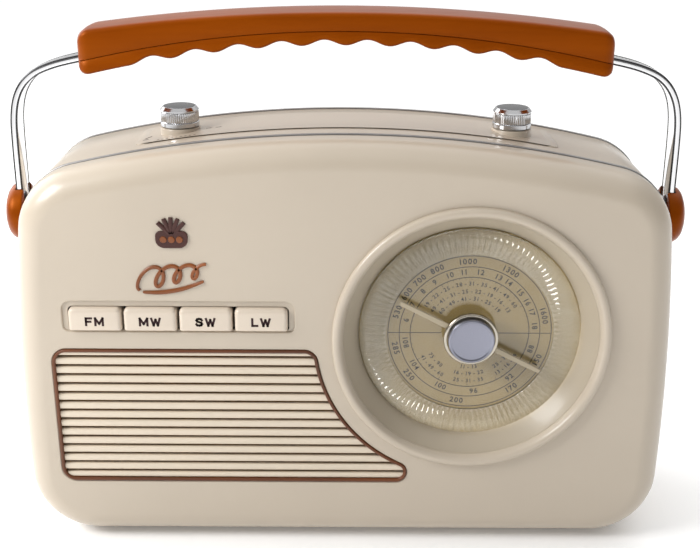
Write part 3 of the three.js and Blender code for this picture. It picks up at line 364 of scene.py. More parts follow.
def ring_faces(count, rings, closed=False):
    """Four-sided faces between neighbouring rings of count points each."""
    faces = []
    for ring in range(rings if closed else rings - 1):
        following = (ring + 1) % rings
        for i in range(count):
            j = (i + 1) % count
            here, there = ring * count, following * count
            faces.append((here + i, here + j, there + j, there + i))
    return faces


def loft(name, rings, material, capped=True, closed=False, smooth=35):
    """A skin through rings of matching points."""
    count = len(rings[0])
    vertices = [point for ring in rings for point in ring]
    faces = ring_faces(count, len(rings), closed)
    if capped and not closed:
        faces.append(tuple(range(count)))
        faces.append(tuple(range((len(rings) - 1) * count, len(rings) * count)))
    return make_object(name, vertices, faces, material, smooth)


def turned(profile, axis, centre=(0, 0, 0), segments=96, radius_of=None):
    """Rings of a solid of revolution. Profile points are [radius, place along the axis]."""
    rings = []
    for index, (radius, along) in enumerate(profile):
        ring = []
        for step in range(segments):
            angle = TAU * step / segments
            r = radius_of(index, step, radius) if radius_of else radius
            a, b = r * math.cos(angle), r * math.sin(angle)
            point = {"X": (along, a, b), "Y": (a, along, b), "Z": (a, b, along)}[axis]
            ring.append(Vector(point) + Vector(centre))
        rings.append(ring)
    return rings


def lathe(name, profile, axis, centre, material, segments=96, closed=False, radius_of=None, smooth=35):
    """A turned piece. An open profile is closed by flat ends, a closed one makes a ring."""
    rings = turned(profile, axis, centre, segments, radius_of)
    return loft(name, rings, material, capped=not closed, closed=closed, smooth=smooth)


def bar(name, low, high, material):
    """A block between two corners."""
    x0, y0, z0 = low
    x1, y1, z1 = high
    rings = [[(x0, y, z0), (x1, y, z0), (x1, y, z1), (x0, y, z1)] for y in (y0, y1)]
    return loft(name, rings, material)


def plate(name, outline, y0, y1, material, smooth=35):
    """A flat shape drawn as (x, z) points, with thickness from y0 to y1."""
    rings = [[(x, y, z) for x, z in outline] for y in (y0, y1)]
    return loft(name, rings, material, smooth=smooth)


def joined(name, objects, material):
    """One object from several, keeping each closed piece as it is."""
    work = bmesh.new()
    for obj in objects:
        settle(obj)
        work.from_mesh(obj.data)
    mesh = bpy.data.meshes.new(name)
    work.to_mesh(mesh)
    work.free()
    for obj in objects:
        bpy.data.objects.remove(obj)
    return finish_object(name, mesh, material)


def recleaned(obj, smooth=35):
    """Cleans a cut piece's mesh and sets its sharp edges again."""
    name, mesh, material = obj.name, obj.data, obj.data.materials[0]
    bpy.data.objects.remove(obj)
    return finish_object(name, mesh, material, smooth)


# ---------- outlines ----------
def arc(centre, radius, start, end, steps):
    """Points on a circle from one angle to another, both ends included."""
    cx, cz = centre
    angles = [start + (end - start) * i / steps for i in range(steps + 1)]
    return [(cx + radius * math.cos(a), cz + radius * math.sin(a)) for a in angles]


def angle_to(start, end):
    return math.atan2(end[1] - start[1], end[0] - start[0])


def quarter_round(steps):
    """A rounded edge of radius one, as pairs of (distance short of its end, distance from its start)."""
    angles = [i / steps * math.pi / 2 for i in range(steps + 1)]
    return [(1 - math.sin(a), 1 - math.cos(a)) for a in angles]


ARCH_CENTRE = (0, TOP_Z - ARCH_RADIUS)
SIDE_CENTRE = (HALF_WIDTH - SIDE_RADIUS, SIDE_CROWN_Z)


def upper_corner_centre():
    """The centre of the corner arc that runs into both the arch and the side."""
    a = ARCH_RADIUS - UPPER_CORNER_RADIUS
    b = SIDE_RADIUS - UPPER_CORNER_RADIUS
    dx = SIDE_CENTRE[0] - ARCH_CENTRE[0]
    dz = SIDE_CENTRE[1] - ARCH_CENTRE[1]
    span = math.hypot(dx, dz)
    along = (a * a - b * b + span * span) / (2 * span)
    aside = math.sqrt(a * a - along * along)
    ux, uz = dx / span, dz / span
    return (ARCH_CENTRE[0] + ux * along + uz * aside, ARCH_CENTRE[1] + uz * along - ux * aside)


def lower_corner_centre():
    z = BOTTOM_Z + LOWER_CORNER_RADIUS
    reach = SIDE_RADIUS - LOWER_CORNER_RADIUS
    return (SIDE_CENTRE[0] + math.sqrt(reach**2 - (z - SIDE_CROWN_Z) ** 2), z)


UPPER_CORNER = upper_corner_centre()
LOWER_CORNER = lower_corner_centre()


def case_outline(inset):
    """The case outline, moved inwards by inset, anticlockwise seen from the front."""
    top = angle_to(ARCH_CENTRE, UPPER_CORNER)
    shoulder = angle_to(SIDE_CENTRE, UPPER_CORNER)
    hip = angle_to(SIDE_CENTRE, LOWER_CORNER)
    right = [(LOWER_CORNER[0] * i / 8, BOTTOM_Z + inset) for i in range(8)]
    right += arc(LOWER_CORNER, LOWER_CORNER_RADIUS - inset, -math.pi / 2, hip, 14)
    right += arc(SIDE_CENTRE, SIDE_RADIUS - inset, hip, shoulder, 12)[1:]
    right += arc(UPPER_CORNER, UPPER_CORNER_RADIUS - inset, shoulder, top, 14)[1:]
    right += arc(ARCH_CENTRE, ARCH_RADIUS - inset, top, math.pi / 2, 24)[1:]
    left = [(-x, z) for x, z in right[1:-1]]
    return right + left[::-1]


def case_ring(inset, y):
    return [(x, y, z) for x, z in case_outline(inset)]


def tray(name, rim_y, face_y, inset, edge_radius, steps=8):
    """A cushion shape from the rim to the face, with a rounded edge at the face."""
    towards = math.copysign(1, face_y - rim_y)
    rings = [case_ring(inset, rim_y)]
    for short, past in quarter_round(steps):
        rings.append(case_ring(inset + edge_radius * past, face_y - towards * edge_radius * short))
    return loft(name, rings, CREAM)


def arch_z(x):
    """The height of the case's arched top at x."""
    return ARCH_CENTRE[1] + math.sqrt(ARCH_RADIUS * ARCH_RADIUS - x * x)


UPPER_FILLET_RISE = DIAL_Z - GRILLE_TOP_Z + UPPER_FILLET
LOWER_FILLET_RISE = DIAL_Z - GRILLE_BOTTOM_Z - LOWER_FILLET
UPPER_FILLET_CENTRE = (
    DIAL_X - math.sqrt((BAY_RADIUS + UPPER_FILLET) ** 2 - UPPER_FILLET_RISE**2),
    GRILLE_TOP_Z - UPPER_FILLET,
)
LOWER_FILLET_CENTRE = (
    DIAL_X - math.sqrt((BAY_RADIUS + LOWER_FILLET) ** 2 - LOWER_FILLET_RISE**2),
    GRILLE_BOTTOM_Z + LOWER_FILLET,
)


def grille_outline(inset):
    """The grille outline moved inwards by inset: a box whose right side is a bay round the dial."""
    dial = (DIAL_X, DIAL_Z)
    corner_x = GRILLE_LEFT_X + GRILLE_CORNER
    corner = GRILLE_CORNER - inset
    bay_start = angle_to(dial, LOWER_FILLET_CENTRE) % TAU
    bay_end = angle_to(dial, UPPER_FILLET_CENTRE) % TAU
    lower_end = angle_to(LOWER_FILLET_CENTRE, dial)
    upper_start = angle_to(UPPER_FILLET_CENTRE, dial)
    points = arc((corner_x, GRILLE_BOTTOM_Z + GRILLE_CORNER), corner, math.pi, 1.5 * math.pi, 10)
    points += arc(LOWER_FILLET_CENTRE, LOWER_FILLET - inset, -math.pi / 2, lower_end, 14)
    points += arc(dial, BAY_RADIUS + inset, bay_start, bay_end, 40)[1:-1]
    points += arc(UPPER_FILLET_CENTRE, UPPER_FILLET - inset, upper_start, math.pi / 2, 10)
    points += arc((corner_x, GRILLE_TOP_Z - GRILLE_CORNER), corner, math.pi / 2, math.pi, 10)
    return points


def grille_span(z, inset):
    """The left and right ends of the grille at height z."""
    corner_x = GRILLE_LEFT_X + GRILLE_CORNER
    radius = GRILLE_CORNER - inset
    beyond = max(z - (GRILLE_TOP_Z - GRILLE_CORNER), GRILLE_BOTTOM_Z + GRILLE_CORNER - z, 0)
    left = corner_x - math.sqrt(max(radius**2 - beyond**2, 0))

    def tangent_z(centre, fillet):
        return DIAL_Z + (centre[1] - DIAL_Z) * BAY_RADIUS / (BAY_RADIUS + fillet)

    fillets = ((UPPER_FILLET_CENTRE, UPPER_FILLET, 1), (LOWER_FILLET_CENTRE, LOWER_FILLET, -1))
    for centre, fillet, sign in fillets:
        if sign * (z - tangent_z(centre, fillet)) > 0:
            reach = max((fillet - inset) ** 2 - (z - centre[1]) ** 2, 0)
            return left, centre[0] + math.sqrt(reach)
    return left, DIAL_X - math.sqrt((BAY_RADIUS + inset) ** 2 - (z - DIAL_Z) ** 2)


# ---------- lettering: the numbers of the scale only ----------
def glyph_mesh(text, size, thickness, weight):
    """A short text standing in X-Z, facing -Y, centred on the origin; weight thickens its strokes."""
    curve = bpy.data.curves.new("glyph", "FONT")
    curve.body = text
    curve.size = size * MM
    curve.extrude = thickness * MM / 2
    curve.offset = weight * size * MM
    curve.align_x = "CENTER"
    curve.align_y = "CENTER"
    curve.resolution_u = 3
    obj = bpy.data.objects.new("glyph", curve)
    bpy.context.scene.collection.objects.link(obj)
    depsgraph = bpy.context.evaluated_depsgraph_get()
    mesh = bpy.data.meshes.new_from_object(obj.evaluated_get(depsgraph))
    bpy.data.objects.remove(obj)
    mesh.transform(Matrix.Rotation(math.pi / 2, 4, "X"))
    return mesh


def lettered(name, labels, y, thickness, material, weight):
    """One object with every label. A label is (text, size, x, z, turn in radians)."""
    work = bmesh.new()
    for text, size, x, z, turn in labels:
        mesh = glyph_mesh(text, size, thickness, weight)
        mesh.transform(Matrix.Rotation(-turn, 4, "Y"))
        mesh.transform(Matrix.Translation(Vector((x, y, z)) * MM))
        work.from_mesh(mesh)
    mesh = bpy.data.meshes.new(name)
    work.to_mesh(mesh)
    work.free()
    return finish_object(name, mesh, material)


# ---------- case ----------
BUTTON_LOW = node_box("band_button_1")[0]
BUTTON_HIGH = node_box("band_button_4")[1]


def rounded_box_outline(x0, x1, z0, z1, radii, steps=6):
    """A box outline with its own radius at the lower left, lower right, upper right and upper left."""
    centres = [(x0, z0, 1, 1), (x1, z0, -1, 1), (x1, z1, -1, -1), (x0, z1, 1, -1)]
    points = []
    for (x, z, sx, sz), radius, quarter in zip(centres, radii, (2, 3, 0, 1)):
        start = quarter * math.pi / 2
        points += arc((x + sx * radius, z + sz * radius), radius, start, start + math.pi / 2, steps)
    return points


SLOT_OUTLINE = rounded_box_outline(
    BUTTON_LOW.x - 2.6, BUTTON_HIGH.x + 2.6, BUTTON_LOW.z - 0.7, BUTTON_HIGH.z + 1.6, (2.4, 2.4, 4, 4)
)
DIAL_BORE_RADIUS = 57.7


def build_front_shell():
    shell = tray("shell_front", FRONT_RIM_Y, FACE_Y, 0, EDGE_RADIUS)
    hollow = tray("hollow", FRONT_RIM_Y + 1, FACE_Y + WALL, WALL, EDGE_RADIUS - WALL)
    depth = (FACE_Y - 2, FACE_Y + WALL + 2)
    bore = lathe("bore", [(DIAL_BORE_RADIUS, y) for y in depth], "Y", DIAL_CENTRE, CREAM, 160)
    window = plate("window", grille_outline(-0.25), *depth, CREAM)
    slot = plate("slot", SLOT_OUTLINE, *depth, CREAM)
    combine(shell, [hollow, bore, window, slot])
    shell = soften(recleaned(shell), 0.55)
    place(shell, "case", "case_cream", "front_shell")


def strip_rings(y0, y1, outer_inset, inner_inset, radius):
    """Rings round a hoop with rounded outer edges."""
    edge = quarter_round(3)
    rings = [case_ring(inner_inset, y0)]
    rings += [case_ring(outer_inset + radius * short, y0 + radius * past) for short, past in edge]
    rings += [case_ring(outer_inset + radius * past, y1 - radius * short) for short, past in edge]
    rings.append(case_ring(inner_inset, y1))
    return rings


def build_band():
    band = loft("band", strip_rings(BAND_FRONT_Y, BAND_REAR_Y, 0, WALL, 0.5), CREAM, closed=True)
    place(band, "case", "case_cream", "case_band")
    for end in ("front", "rear"):
        low, high = node_box(f"{end}_trim")
        rings = strip_rings(low.y, high.y, -TRIM_PROUD, WALL, 0.45)
        hoop = loft(f"trim_{end}", rings, TRIM_SILVER, closed=True)
        place(hoop, "case", "trim_silver", f"{end}_trim")


def build_top_panel():
    """The raised strip on the arch, with a boss under each knob and printed marks."""
    low, high = node_box("top_panel")
    radius = 3.0
    rings = []
    for inset, height in [(0.35, -0.4), (0.0, 0.0), (0.0, 0.2), (0.1, 0.4), (0.35, PANEL_PROUD)]:
        corners = (radius - inset,) * 4
        outline = rounded_box_outline(low.x + inset, high.x - inset, low.y + inset, high.y - inset, corners)
        rings.append([(x, y, arch_z(x) + height) for x, y in outline])
    edge = loft("panel_edge", rings, CREAM, capped=False)
    panel = joined("panel_top", [edge, grid_lid(rings[-1]), grid_lid(rings[0])], CREAM)
    place(panel, "case", "case_cream", "top_panel")
    profile = [
        (0, BOSS_ROOT), (BOSS_RADIUS, BOSS_ROOT), (BOSS_RADIUS, BOSS_TOP - 0.4),
        (8.65, BOSS_TOP - 0.1), (8.3, BOSS_TOP), (0, BOSS_TOP),
    ]
    for side, name in ((-1, "left"), (1, "right")):
        boss = lathe(f"boss_{name}", profile, "Z", (0, 0, 0), CREAM, 64)
        stand_on_arch(boss, side * KNOB_X)
        place(boss, "case", "case_cream")
    build_legend()


def build_legend():
    """Printed marks round the left knob: a dotted row, three dashes and a slanting stroke."""
    marks = [(-81.5 + step * 2.0, -11.4, 0.9, 0.42, 0) for step in range(9)]
    marks += [
        (-60.4, -1.2, 2.6, 0.5, 0), (-56.2, -1.2, 2.6, 0.5, 0),
        (-86.8, -4.2, 4.2, 0.5, 55), (-87.4, -7.8, 2.4, 0.5, 0),
    ]
    pieces = []
    for x, y, length, width, degrees in marks:
        low = (-length / 2, -width / 2, PANEL_PROUD - 0.06)
        high = (length / 2, width / 2, PANEL_PROUD + 0.05)
        mark = bar("mark", low, high, INK)
        mark.data.transform(Matrix.Rotation(math.radians(degrees), 4, "Z"))
        slope = Matrix.Rotation(math.asin(x / ARCH_RADIUS), 4, "Y")
        mark.data.transform(Matrix.Translation(Vector((x, y, arch_z(x))) * MM) @ slope)
        pieces.append(mark)
    place(joined("panel_legend", pieces, INK), "case", "case_cream")


def grid_lid(ring, steps=48):
    """A lid that follows the arch across a closed ring of points, cut into strips along X."""
    work = bmesh.new()
    corners = [work.verts.new(Vector(point) * MM) for point in ring]
    work.faces.new(corners)
    x0 = min(point[0] for point in ring)
    x1 = max(point[0] for point in ring)
    for i in range(1, steps):
        x = x0 + (x1 - x0) * i / steps
        geometry = work.verts[:] + work.edges[:] + work.faces[:]
        bmesh.ops.bisect_plane(work, geom=geometry, plane_co=(x * MM, 0, 0), plane_no=(1, 0, 0))
    height = ring[0][2] - arch_z(ring[0][0])
    for vertex in work.verts:
        vertex.co.z = (arch_z(vertex.co.x / MM) + height) * MM
    mesh = bpy.data.meshes.new("lid")
    work.to_mesh(mesh)
    work.free()
    return finish_object("lid", mesh, CREAM)


def stand_on_arch(obj, x):
    """Moves a piece drawn about +Z on the origin so that it stands upright on the arch at x."""
    obj.data.transform(Matrix.Translation(Vector((x, PIVOT_Y, arch_z(x))) * MM))


def build_feet():
    for name in ("foot_front_left", "foot_front_right", "foot_rear_left", "foot_rear_right"):
        low, high = node_box(name)
        middle = (low + high) / 2
        profile = [(0, 0.0), (6.2, 0.0), (7.0, 0.25), (7.5, 0.9), (8, 2.4), (8, high.z), (0, high.z)]
        foot = lathe(f"{name}_pad", profile, "Z", (middle.x, middle.y, 0), RUBBER, 48)
        place(foot, "case", "foot_rubber", name)


# ---------- grille ----------
def build_grille():
    top = GRILLE_TOP_Z - 1.4
    bottom = GRILLE_BOTTOM_Z + 1.4
    edges = [top]
    for k in range(SLOT_COUNT):
        centre = FIRST_SLOT_Z - k * SLOT_PITCH
        edges += [centre + SLOT_HEIGHT / 2, centre - SLOT_HEIGHT / 2]
    edges.append(bottom)
    slats = []
    front = FACE_Y + 0.35
    back = FACE_Y + 2.3
    steps = 8
    for k in range(0, len(edges), 2):
        upper, lower = edges[k], edges[k + 1]
        rings = []
        for i in range(steps + 1):
            u = i / steps
            z = upper + (lower - upper) * u
            bulge = 0.55 * (2 * u - 1) ** 4
            left, right = grille_span(z, GRILLE_BORDER)
            depth = front + bulge + 0.25 * u
            rings.append([(left, depth, z), (right, depth, z), (right, back, z), (left, back, z)])
        slats.append(loft("slat", rings, SLAT, smooth=50))
    grille = joined("grille_slats", slats, SLAT)
    place(grille, "case", "case_cream", "speaker_grille")
    cloth = plate("grille_cloth", grille_outline(0.9), FACE_Y + 2.4, FACE_Y + 2.9, CLOTH)
    place(cloth, "case", "speaker_paper")
    bead = [
        (-0.1, 1.0), (-0.1, 0.0), (0.1, -0.38), (0.45, -0.5),
        (0.95, -0.45), (1.25, -0.2), (GRILLE_BORDER, 0.3), (GRILLE_BORDER, 1.0),
    ]
    rings = [[(x, FACE_Y + y, z) for x, z in grille_outline(inset)] for inset, y in bead]
    trim = loft("grille_bead", rings, TRIM_BROWN, closed=True, smooth=60)
    place(trim, "case", "grille_trim", "grille_trim")


# ---------- buttons ----------
KEY_DROP = 1.1
KEY_GAP = 0.3


def build_buttons():
    """The four keys with their letters, and the cream surround they stand in."""
    for i, text in enumerate(("FM", "MW", "SW", "LW"), start=1):
        low, high = node_box(f"band_button_{i}")
        x0, x1, z0, z1 = low.x + 0.2, high.x - 0.2, low.z, high.z - KEY_DROP
        front = low.y
        rings = []
        for inset, y in [(0, 10), (0, 1.9), (0.15, 1.1), (0.5, 0.45), (1.1, 0.1), (1.8, 0)]:
            radii = (max(0.9 - inset * 0.3, 0.3),) * 2 + (max(2.4 - inset * 0.8, 0.9),) * 2
            outline = rounded_box_outline(x0 + inset, x1 - inset, z0 + inset * 0.55, z1 - inset * 1.25, radii)
            rings.append([(x, front + y, z) for x, z in outline])
        key = loft(f"key_{i}", rings, BUTTON, smooth=50)
        place(key, f"button_{i}", "button_cream", f"band_button_{i}")
        letters = band_letters(f"key_print_{i}", text, (x0 + x1) / 2, z0 + 3.0, front)
        place(letters, f"button_{i}", "button_cream")
    hole = rounded_box_outline(
        BUTTON_LOW.x - KEY_GAP, BUTTON_HIGH.x + KEY_GAP,
        BUTTON_LOW.z - KEY_GAP, BUTTON_HIGH.z - KEY_DROP + KEY_GAP, (1, 1, 2.4, 2.4),
    )
    surround = plate("button_surround", SLOT_OUTLINE, FACE_Y + 0.9, FACE_Y + WALL, CREAM)
    combine(surround, [plate("keyhole", hole, FACE_Y, FACE_Y + WALL + 1, CREAM)])
    place(recleaned(surround), "case", "case_cream")


# Strokes of each letter inside a box one unit high.
LETTER_STROKES = {
    "F": ([(0, 0), (0, 1), (0.6, 1)], [(0, 0.5), (0.5, 0.5)]),
    "M": ([(0, 0), (0, 1), (0.42, 0.2), (0.84, 1), (0.84, 0)],),
    "W": ([(0, 1), (0.24, 0), (0.48, 0.85), (0.72, 0), (0.96, 1)],),
    "L": ([(0, 1), (0, 0), (0.55, 0)],),
    "S": (
        [
            (0.62, 0.80), (0.52, 0.95), (0.32, 1), (0.12, 0.94), (0.03, 0.77), (0.12, 0.61), (0.33, 0.52),
            (0.54, 0.42), (0.64, 0.25), (0.54, 0.07), (0.33, 0), (0.10, 0.05), (0, 0.2),
        ],
    ),
}


def band_letters(name, text, middle_x, base_z, front):
    """Thick printed capitals, centred on middle_x."""
    tall, stretch, spacing, half = 3.1, 1.22, 1.75, 0.5
    widths = [max(x for run in LETTER_STROKES[c] for x, _ in run) * tall * stretch for c in text]
    left = middle_x - (sum(widths) + spacing * (len(text) - 1)) / 2
    pieces = []
    for character, width in zip(text, widths):
        for run in LETTER_STROKES[character]:
            points = [Vector((left + x * tall * stretch, base_z + z * tall)) for x, z in run]
            for start, end in zip(points, points[1:]):
                along = (end - start).normalized()
                across = Vector((-along.y, along.x)) * half
                a, b = start - along * half, end + along * half
                corners = [tuple(p) for p in (a - across, b - across, b + across, a + across)]
                pieces.append(plate("stroke", corners, front - 0.03, front + 0.07, MAROON_INK))
        left += width + spacing
    return joined(name, pieces, MAROON_INK)


# ---------- dial ----------
def build_bezel():
    """The proud ring on the face, and the bowl that falls away inside it."""
    ring = [
        (56.9, -38.2), (57.4, -38), (57.4, FACE_Y + 0.2), (BEZEL_RADIUS, FACE_Y + 0.2), (BEZEL_RADIUS, -43.9),
        (60.35, -44.6), (59.8, -45.15), (59.1, -45.42), (58.4, BEZEL_FRONT_Y), (57.7, -45.38), (57.1, -45.0),
        (56.6, -44.3), (56.1, -43.2), (55.6, -42.2),
    ]
    bezel = lathe("bezel", ring, "Y", DIAL_CENTRE, CREAM, 192, closed=True, smooth=50)
    place(bezel, "case", "case_cream", "dial_bezel")
    rest_y = SCALE_Y - 0.3
    hollow = [
        (49, rest_y), (53.6, rest_y), (56.8, -38.1), (56.2, -42.1), (55.5, -42.1), (55.2, -41.6),
        (53.9, -39.6), (52.3, -37.6), (50.6, -35.6), (49.3, -34.2), (49, -33.8),
    ]
    # Painted shade: the bowl takes a darker copy of the case cream, for the recess it sits in.
    bowl = lathe("bowl", hollow, "Y", DIAL_CENTRE, BOWL_PAINTED_SHADE, 192, closed=True, smooth=50)
    place(bowl, "case", "case_cream")


INK_FRONT_Y = SCALE_Y - 0.06
INK_BACK_Y = SCALE_Y + 0.02
LINE_HALF = 0.17
TICK_RADIUS = 26.2
SCALE_HOLE_RADIUS = 3.3


def build_scale():
    """The printed disc behind the clear one, with its rings, middle lines, ticks and numbers."""
    rim_y, hub_y = SCALE_Y + 1, SCALE_Y + 3.4
    profile = [
        (SCALE_HOLE_RADIUS, SCALE_Y), (52.5, SCALE_Y), (52.5, rim_y), (7, rim_y), (7, hub_y),
        (SCALE_HOLE_RADIUS, hub_y),
    ]
    base = lathe("scale_disc", profile, "Y", DIAL_CENTRE, GOLD, 128, closed=True)
    place(base, "case", "scale_print", "scale_plate")
    marks = []
    for radius in (36, 31, TICK_RADIUS):
        inner, outer = radius - LINE_HALF, radius + LINE_HALF
        ring = [(inner, INK_FRONT_Y), (outer, INK_FRONT_Y), (outer, INK_BACK_Y), (inner, INK_BACK_Y)]
        marks.append(lathe("ring", ring, "Y", DIAL_CENTRE, INK, 144, closed=True))
    for side in (-1, 1):
        x0, x1 = sorted((DIAL_X + side * 12.5, DIAL_X + side * 36))
        low, high = (x0, INK_FRONT_Y, DIAL_Z - LINE_HALF), (x1, INK_BACK_Y, DIAL_Z + LINE_HALF)
        marks.append(bar("line", low, high, INK))
    for step in range(60):
        angle = TAU * step / 60
        if abs(math.sin(angle)) < 0.05:
            continue
        reach = 1.3 if step % 5 == 0 else 0.7
        marks.append(tick(angle, TICK_RADIUS - reach, TICK_RADIUS, 0.11))
    place(joined("scale_lines", marks, INK), "case", "scale_print")
    numbers = lettered("scale_numbers", dial_labels(), SCALE_Y - 0.03, 0.08, INK, 0.022)
    place(numbers, "case", "scale_print")


def tick(angle, inner, outer, half_width):
    corners = [(inner, -half_width), (outer, -half_width), (outer, half_width), (inner, half_width)]
    return plate("tick", on_dial(angle, corners), INK_FRONT_Y, INK_BACK_Y, INK)


def on_dial(angle, points):
    """Points drawn along and across a spoke of the dial, as x and z."""
    ux, uz = math.cos(angle), math.sin(angle)
    return [(DIAL_X + ux * r - uz * s, DIAL_Z + uz * r + ux * s) for r, s in points]


# Where each number stands on its circle, in degrees anticlockwise from the right.
UPPER_OUTER = {530: 163, 600: 147, 700: 132.5, 800: 117, 1000: 93.5, 1300: 60, 1600: 14.5}
LOWER_OUTER = {285: 193, 250: 218, 200: 262, 170: 306.5, 150: 337}
UPPER_MIDDLE = {
    6: 168, 7: 152, 8: 137, 9: 124, 10: 109.5, 11: 97, 12: 82.5,
    13: 66, 14: 56, 15: 42, 16: 31, 17: 20.5, 18: 7,
}
LOWER_MIDDLE = {108: 189.5, 104: 213, 100: 245, 96: 276, 92: 311, 88: 344.5}


def dial_labels():
    """Every number on the scale: four circles of tuning numbers, and rows of generic ones inside."""
    outer, middle = (33.4, 3.5), (28.6, 3.3)
    labels = []
    for table, (radius, size), upper in (
        (UPPER_OUTER, outer, True), (UPPER_MIDDLE, middle, True),
        (LOWER_OUTER, outer, False), (LOWER_MIDDLE, middle, False),
    ):
        for number, degrees in table.items():
            labels += arc_text(str(number), radius, degrees, size, upper)
    rows = [
        (23.2, 90, "19 - 22 - 25 - 28 - 31 - 35 - 41 - 49 - 60", True),
        (19.6, 90, "49 - 41 - 31 - 25 - 22 - 19 - 16 - 13", True),
        (16.2, 92, "60 - 49 - 41 - 31 - 25 - 19", True),
        (23.4, 225, "41 - 49 - 60", False),
        (19.9, 222, "75 - 90", False),
        (23.4, 271, "25 - 31 - 35", False),
        (19.9, 271, "16 - 19 - 22", False),
        (16.6, 271, "11 - 13", False),
        (23.4, 318, "13 - 16 - 19", False),
        (19.9, 316, "25 - 31", False),
    ]
    for radius, degrees, text, upper in rows:
        labels += arc_text(text, radius, degrees, 2.5, upper)
    return labels


def arc_text(text, radius, degrees, size, upper):
    """Characters laid along a circle, heads out on the upper half and heads in on the lower half."""
    advance = {"1": 0.5, " ": 0.3, "-": 0.42}
    widths = [advance.get(letter, 0.62) * size for letter in text]
    direction = -1 if upper else 1
    along = -sum(widths) / 2
    labels = []
    for letter, width in zip(text, widths):
        angle = math.radians(degrees) + direction * (along + width / 2) / radius
        along += width
        if letter == " ":
            continue
        turn = angle - math.pi / 2 if upper else angle + math.pi / 2
        x = DIAL_X + radius * math.cos(angle)
        z = DIAL_Z + radius * math.sin(angle)
        labels.append((letter, size, x, z, turn))
    return labels


FLUTE_COUNT = 108
FLUTE_INNER = 36.8


def build_disc():
    """Clear tuning disc: a flat window, and a raised rim with ribs all round."""
    front, back, pane_y = DISC_FRONT_Y, DISC_BACK_Y, DISC_FRONT_Y + 2.9
    window = [
        (SCALE_HOLE_RADIUS, back), (FLUTE_INNER, back), (FLUTE_INNER, pane_y), (12, pane_y),
        (SCALE_HOLE_RADIUS, pane_y),
    ]
    pane = lathe("dial_window", window, "Y", DIAL_CENTRE, CLEAR, 144, closed=True)
    pane.visible_shadow = False
    place(pane, "tuning", "dial_clear", "tuning_dial")
    per_flute = 6
    segments = FLUTE_COUNT * per_flute
    profile = [
        (FLUTE_INNER, back), (48.4, back), (48.4, front + 2.6), (48.1, front + 1.9), (47.2, front + 1.0),
        (45.8, front + 0.35), (44.0, front), (42.2, front + 0.25), (40.2, front + 1.0),
        (38.4, front + 2.0), (37.3, front + 2.6), (FLUTE_INNER, front + 2.8),
    ]
    # How deep the flutes cut at each point of the profile.
    depth = {2: 0.2, 3: 0.5, 4: 0.75, 5: 0.8, 6: 0.8, 7: 0.8, 8: 0.75, 9: 0.5, 10: 0.15}
    rings = turned(profile, "Y", DIAL_CENTRE, segments)
    for index, dip in depth.items():
        for step, point in enumerate(rings[index]):
            point.y += 1.5 * dip * abs(math.cos(math.pi * step / per_flute)) ** 2.2
    ribs = loft("dial_ribs", rings, RIB_CLEAR, closed=True, smooth=75)
    ribs.visible_shadow = False
    place(ribs, "tuning", "dial_clear")


POINTER_DEGREES = 152.6


def build_pointer_and_hub():
    low, high = node_box("dial_pointer")
    reach = 35
    shape = [(reach, 1.0), (8, 1.25), (0, 5.0), (-8, 1.25), (-reach, 1.0)]
    outline = shape + [(r, -s) for r, s in reversed(shape)]
    points = on_dial(math.radians(POINTER_DEGREES), outline)
    needle = plate("pointer", points, low.y, high.y, POINTER)
    soften(needle, 0.25, 2)
    place(needle, "tuning", "pointer_cream", "dial_pointer")
    front, back = (corner.y for corner in node_box("dial_cap"))
    collar = [
        (10.6, back), (12, back), (12, back - 1.0), (11.85, back - 1.45), (11.5, back - 1.75),
        (11.1, back - 1.8), (10.6, back - 1.7),
    ]
    ring = lathe("hub_collar", collar, "Y", DIAL_CENTRE, COLLAR, 96, closed=True, smooth=60)
    place(ring, "tuning", "hub_metal", "dial_collar")
    cap = [
        (0, back), (10.15, back), (10.15, front + 0.9), (10.05, front + 0.4), (9.8, front + 0.12),
        (9.4, front), (9.0, front + 0.05), (8.75, front + 0.25), (8.4, front + 0.32), (0, front + 0.22),
    ]
    button = lathe("hub_cap", cap, "Y", DIAL_CENTRE, SPUN, 96, smooth=60)
    place(button, "tuning", "hub_metal", "dial_cap")


# ---------- knobs ----------
def build_knobs():
    """Chrome knobs; the two middle points of the profile carry the teeth."""
    teeth, per_tooth = 56, 3
    knurled = (5, 6)

    def radius_of(index, step, radius):
        if index not in knurled:
            return radius
        return radius + (0.2 if step % per_tooth == 0 else -0.12)

    profile = [
        (0, 0), (8.0, 0), (8.5, 0.3), (8.5, 2.0), (8.05, 2.3), (8.2, 2.7), (8.2, 6.3),
        (8.05, 6.6), (8.5, 6.9), (8.5, 7.4), (7.4, 8.75), (7.1, 8.8), (0, 8.8),
    ]
    lid = [(0, 8.7), (6.85, 8.7), (6.8, 8.87), (6.5, 8.93), (0, 8.97)]
    segments = teeth * per_tooth
    for side, name in ((-1, "volume"), (1, "tone")):
        centre = (side * KNOB_X, PIVOT_Y, node_box(f"{name}_knob")[0].z)
        knob = lathe(
            f"{name}_dome", profile, "Z", centre, KNOB_CHROME, segments, radius_of=radius_of, smooth=30
        )
        place(knob, name, "knob_chrome", f"{name}_knob")
        # The dark lid on top stands in for the chrome cap's dark reflection: painted reflection.
        face = lathe(f"{name}_face", lid, "Z", centre, KNOB_TOP_PAINTED_REFLECTION, 96, smooth=30)
        place(face, name, "knob_chrome")


# ---------- handle ----------
STRAP_ROUTE = [
    (146.3, 139), (146.2, 163), (146.0, 182), (145.4, 192), (143.7, 199.5), (140.5, 205.6),
    (135.6, 210.3), (128.5, 213.6), (120, 216.0), (108, 218.4), (96, 220.6),
]


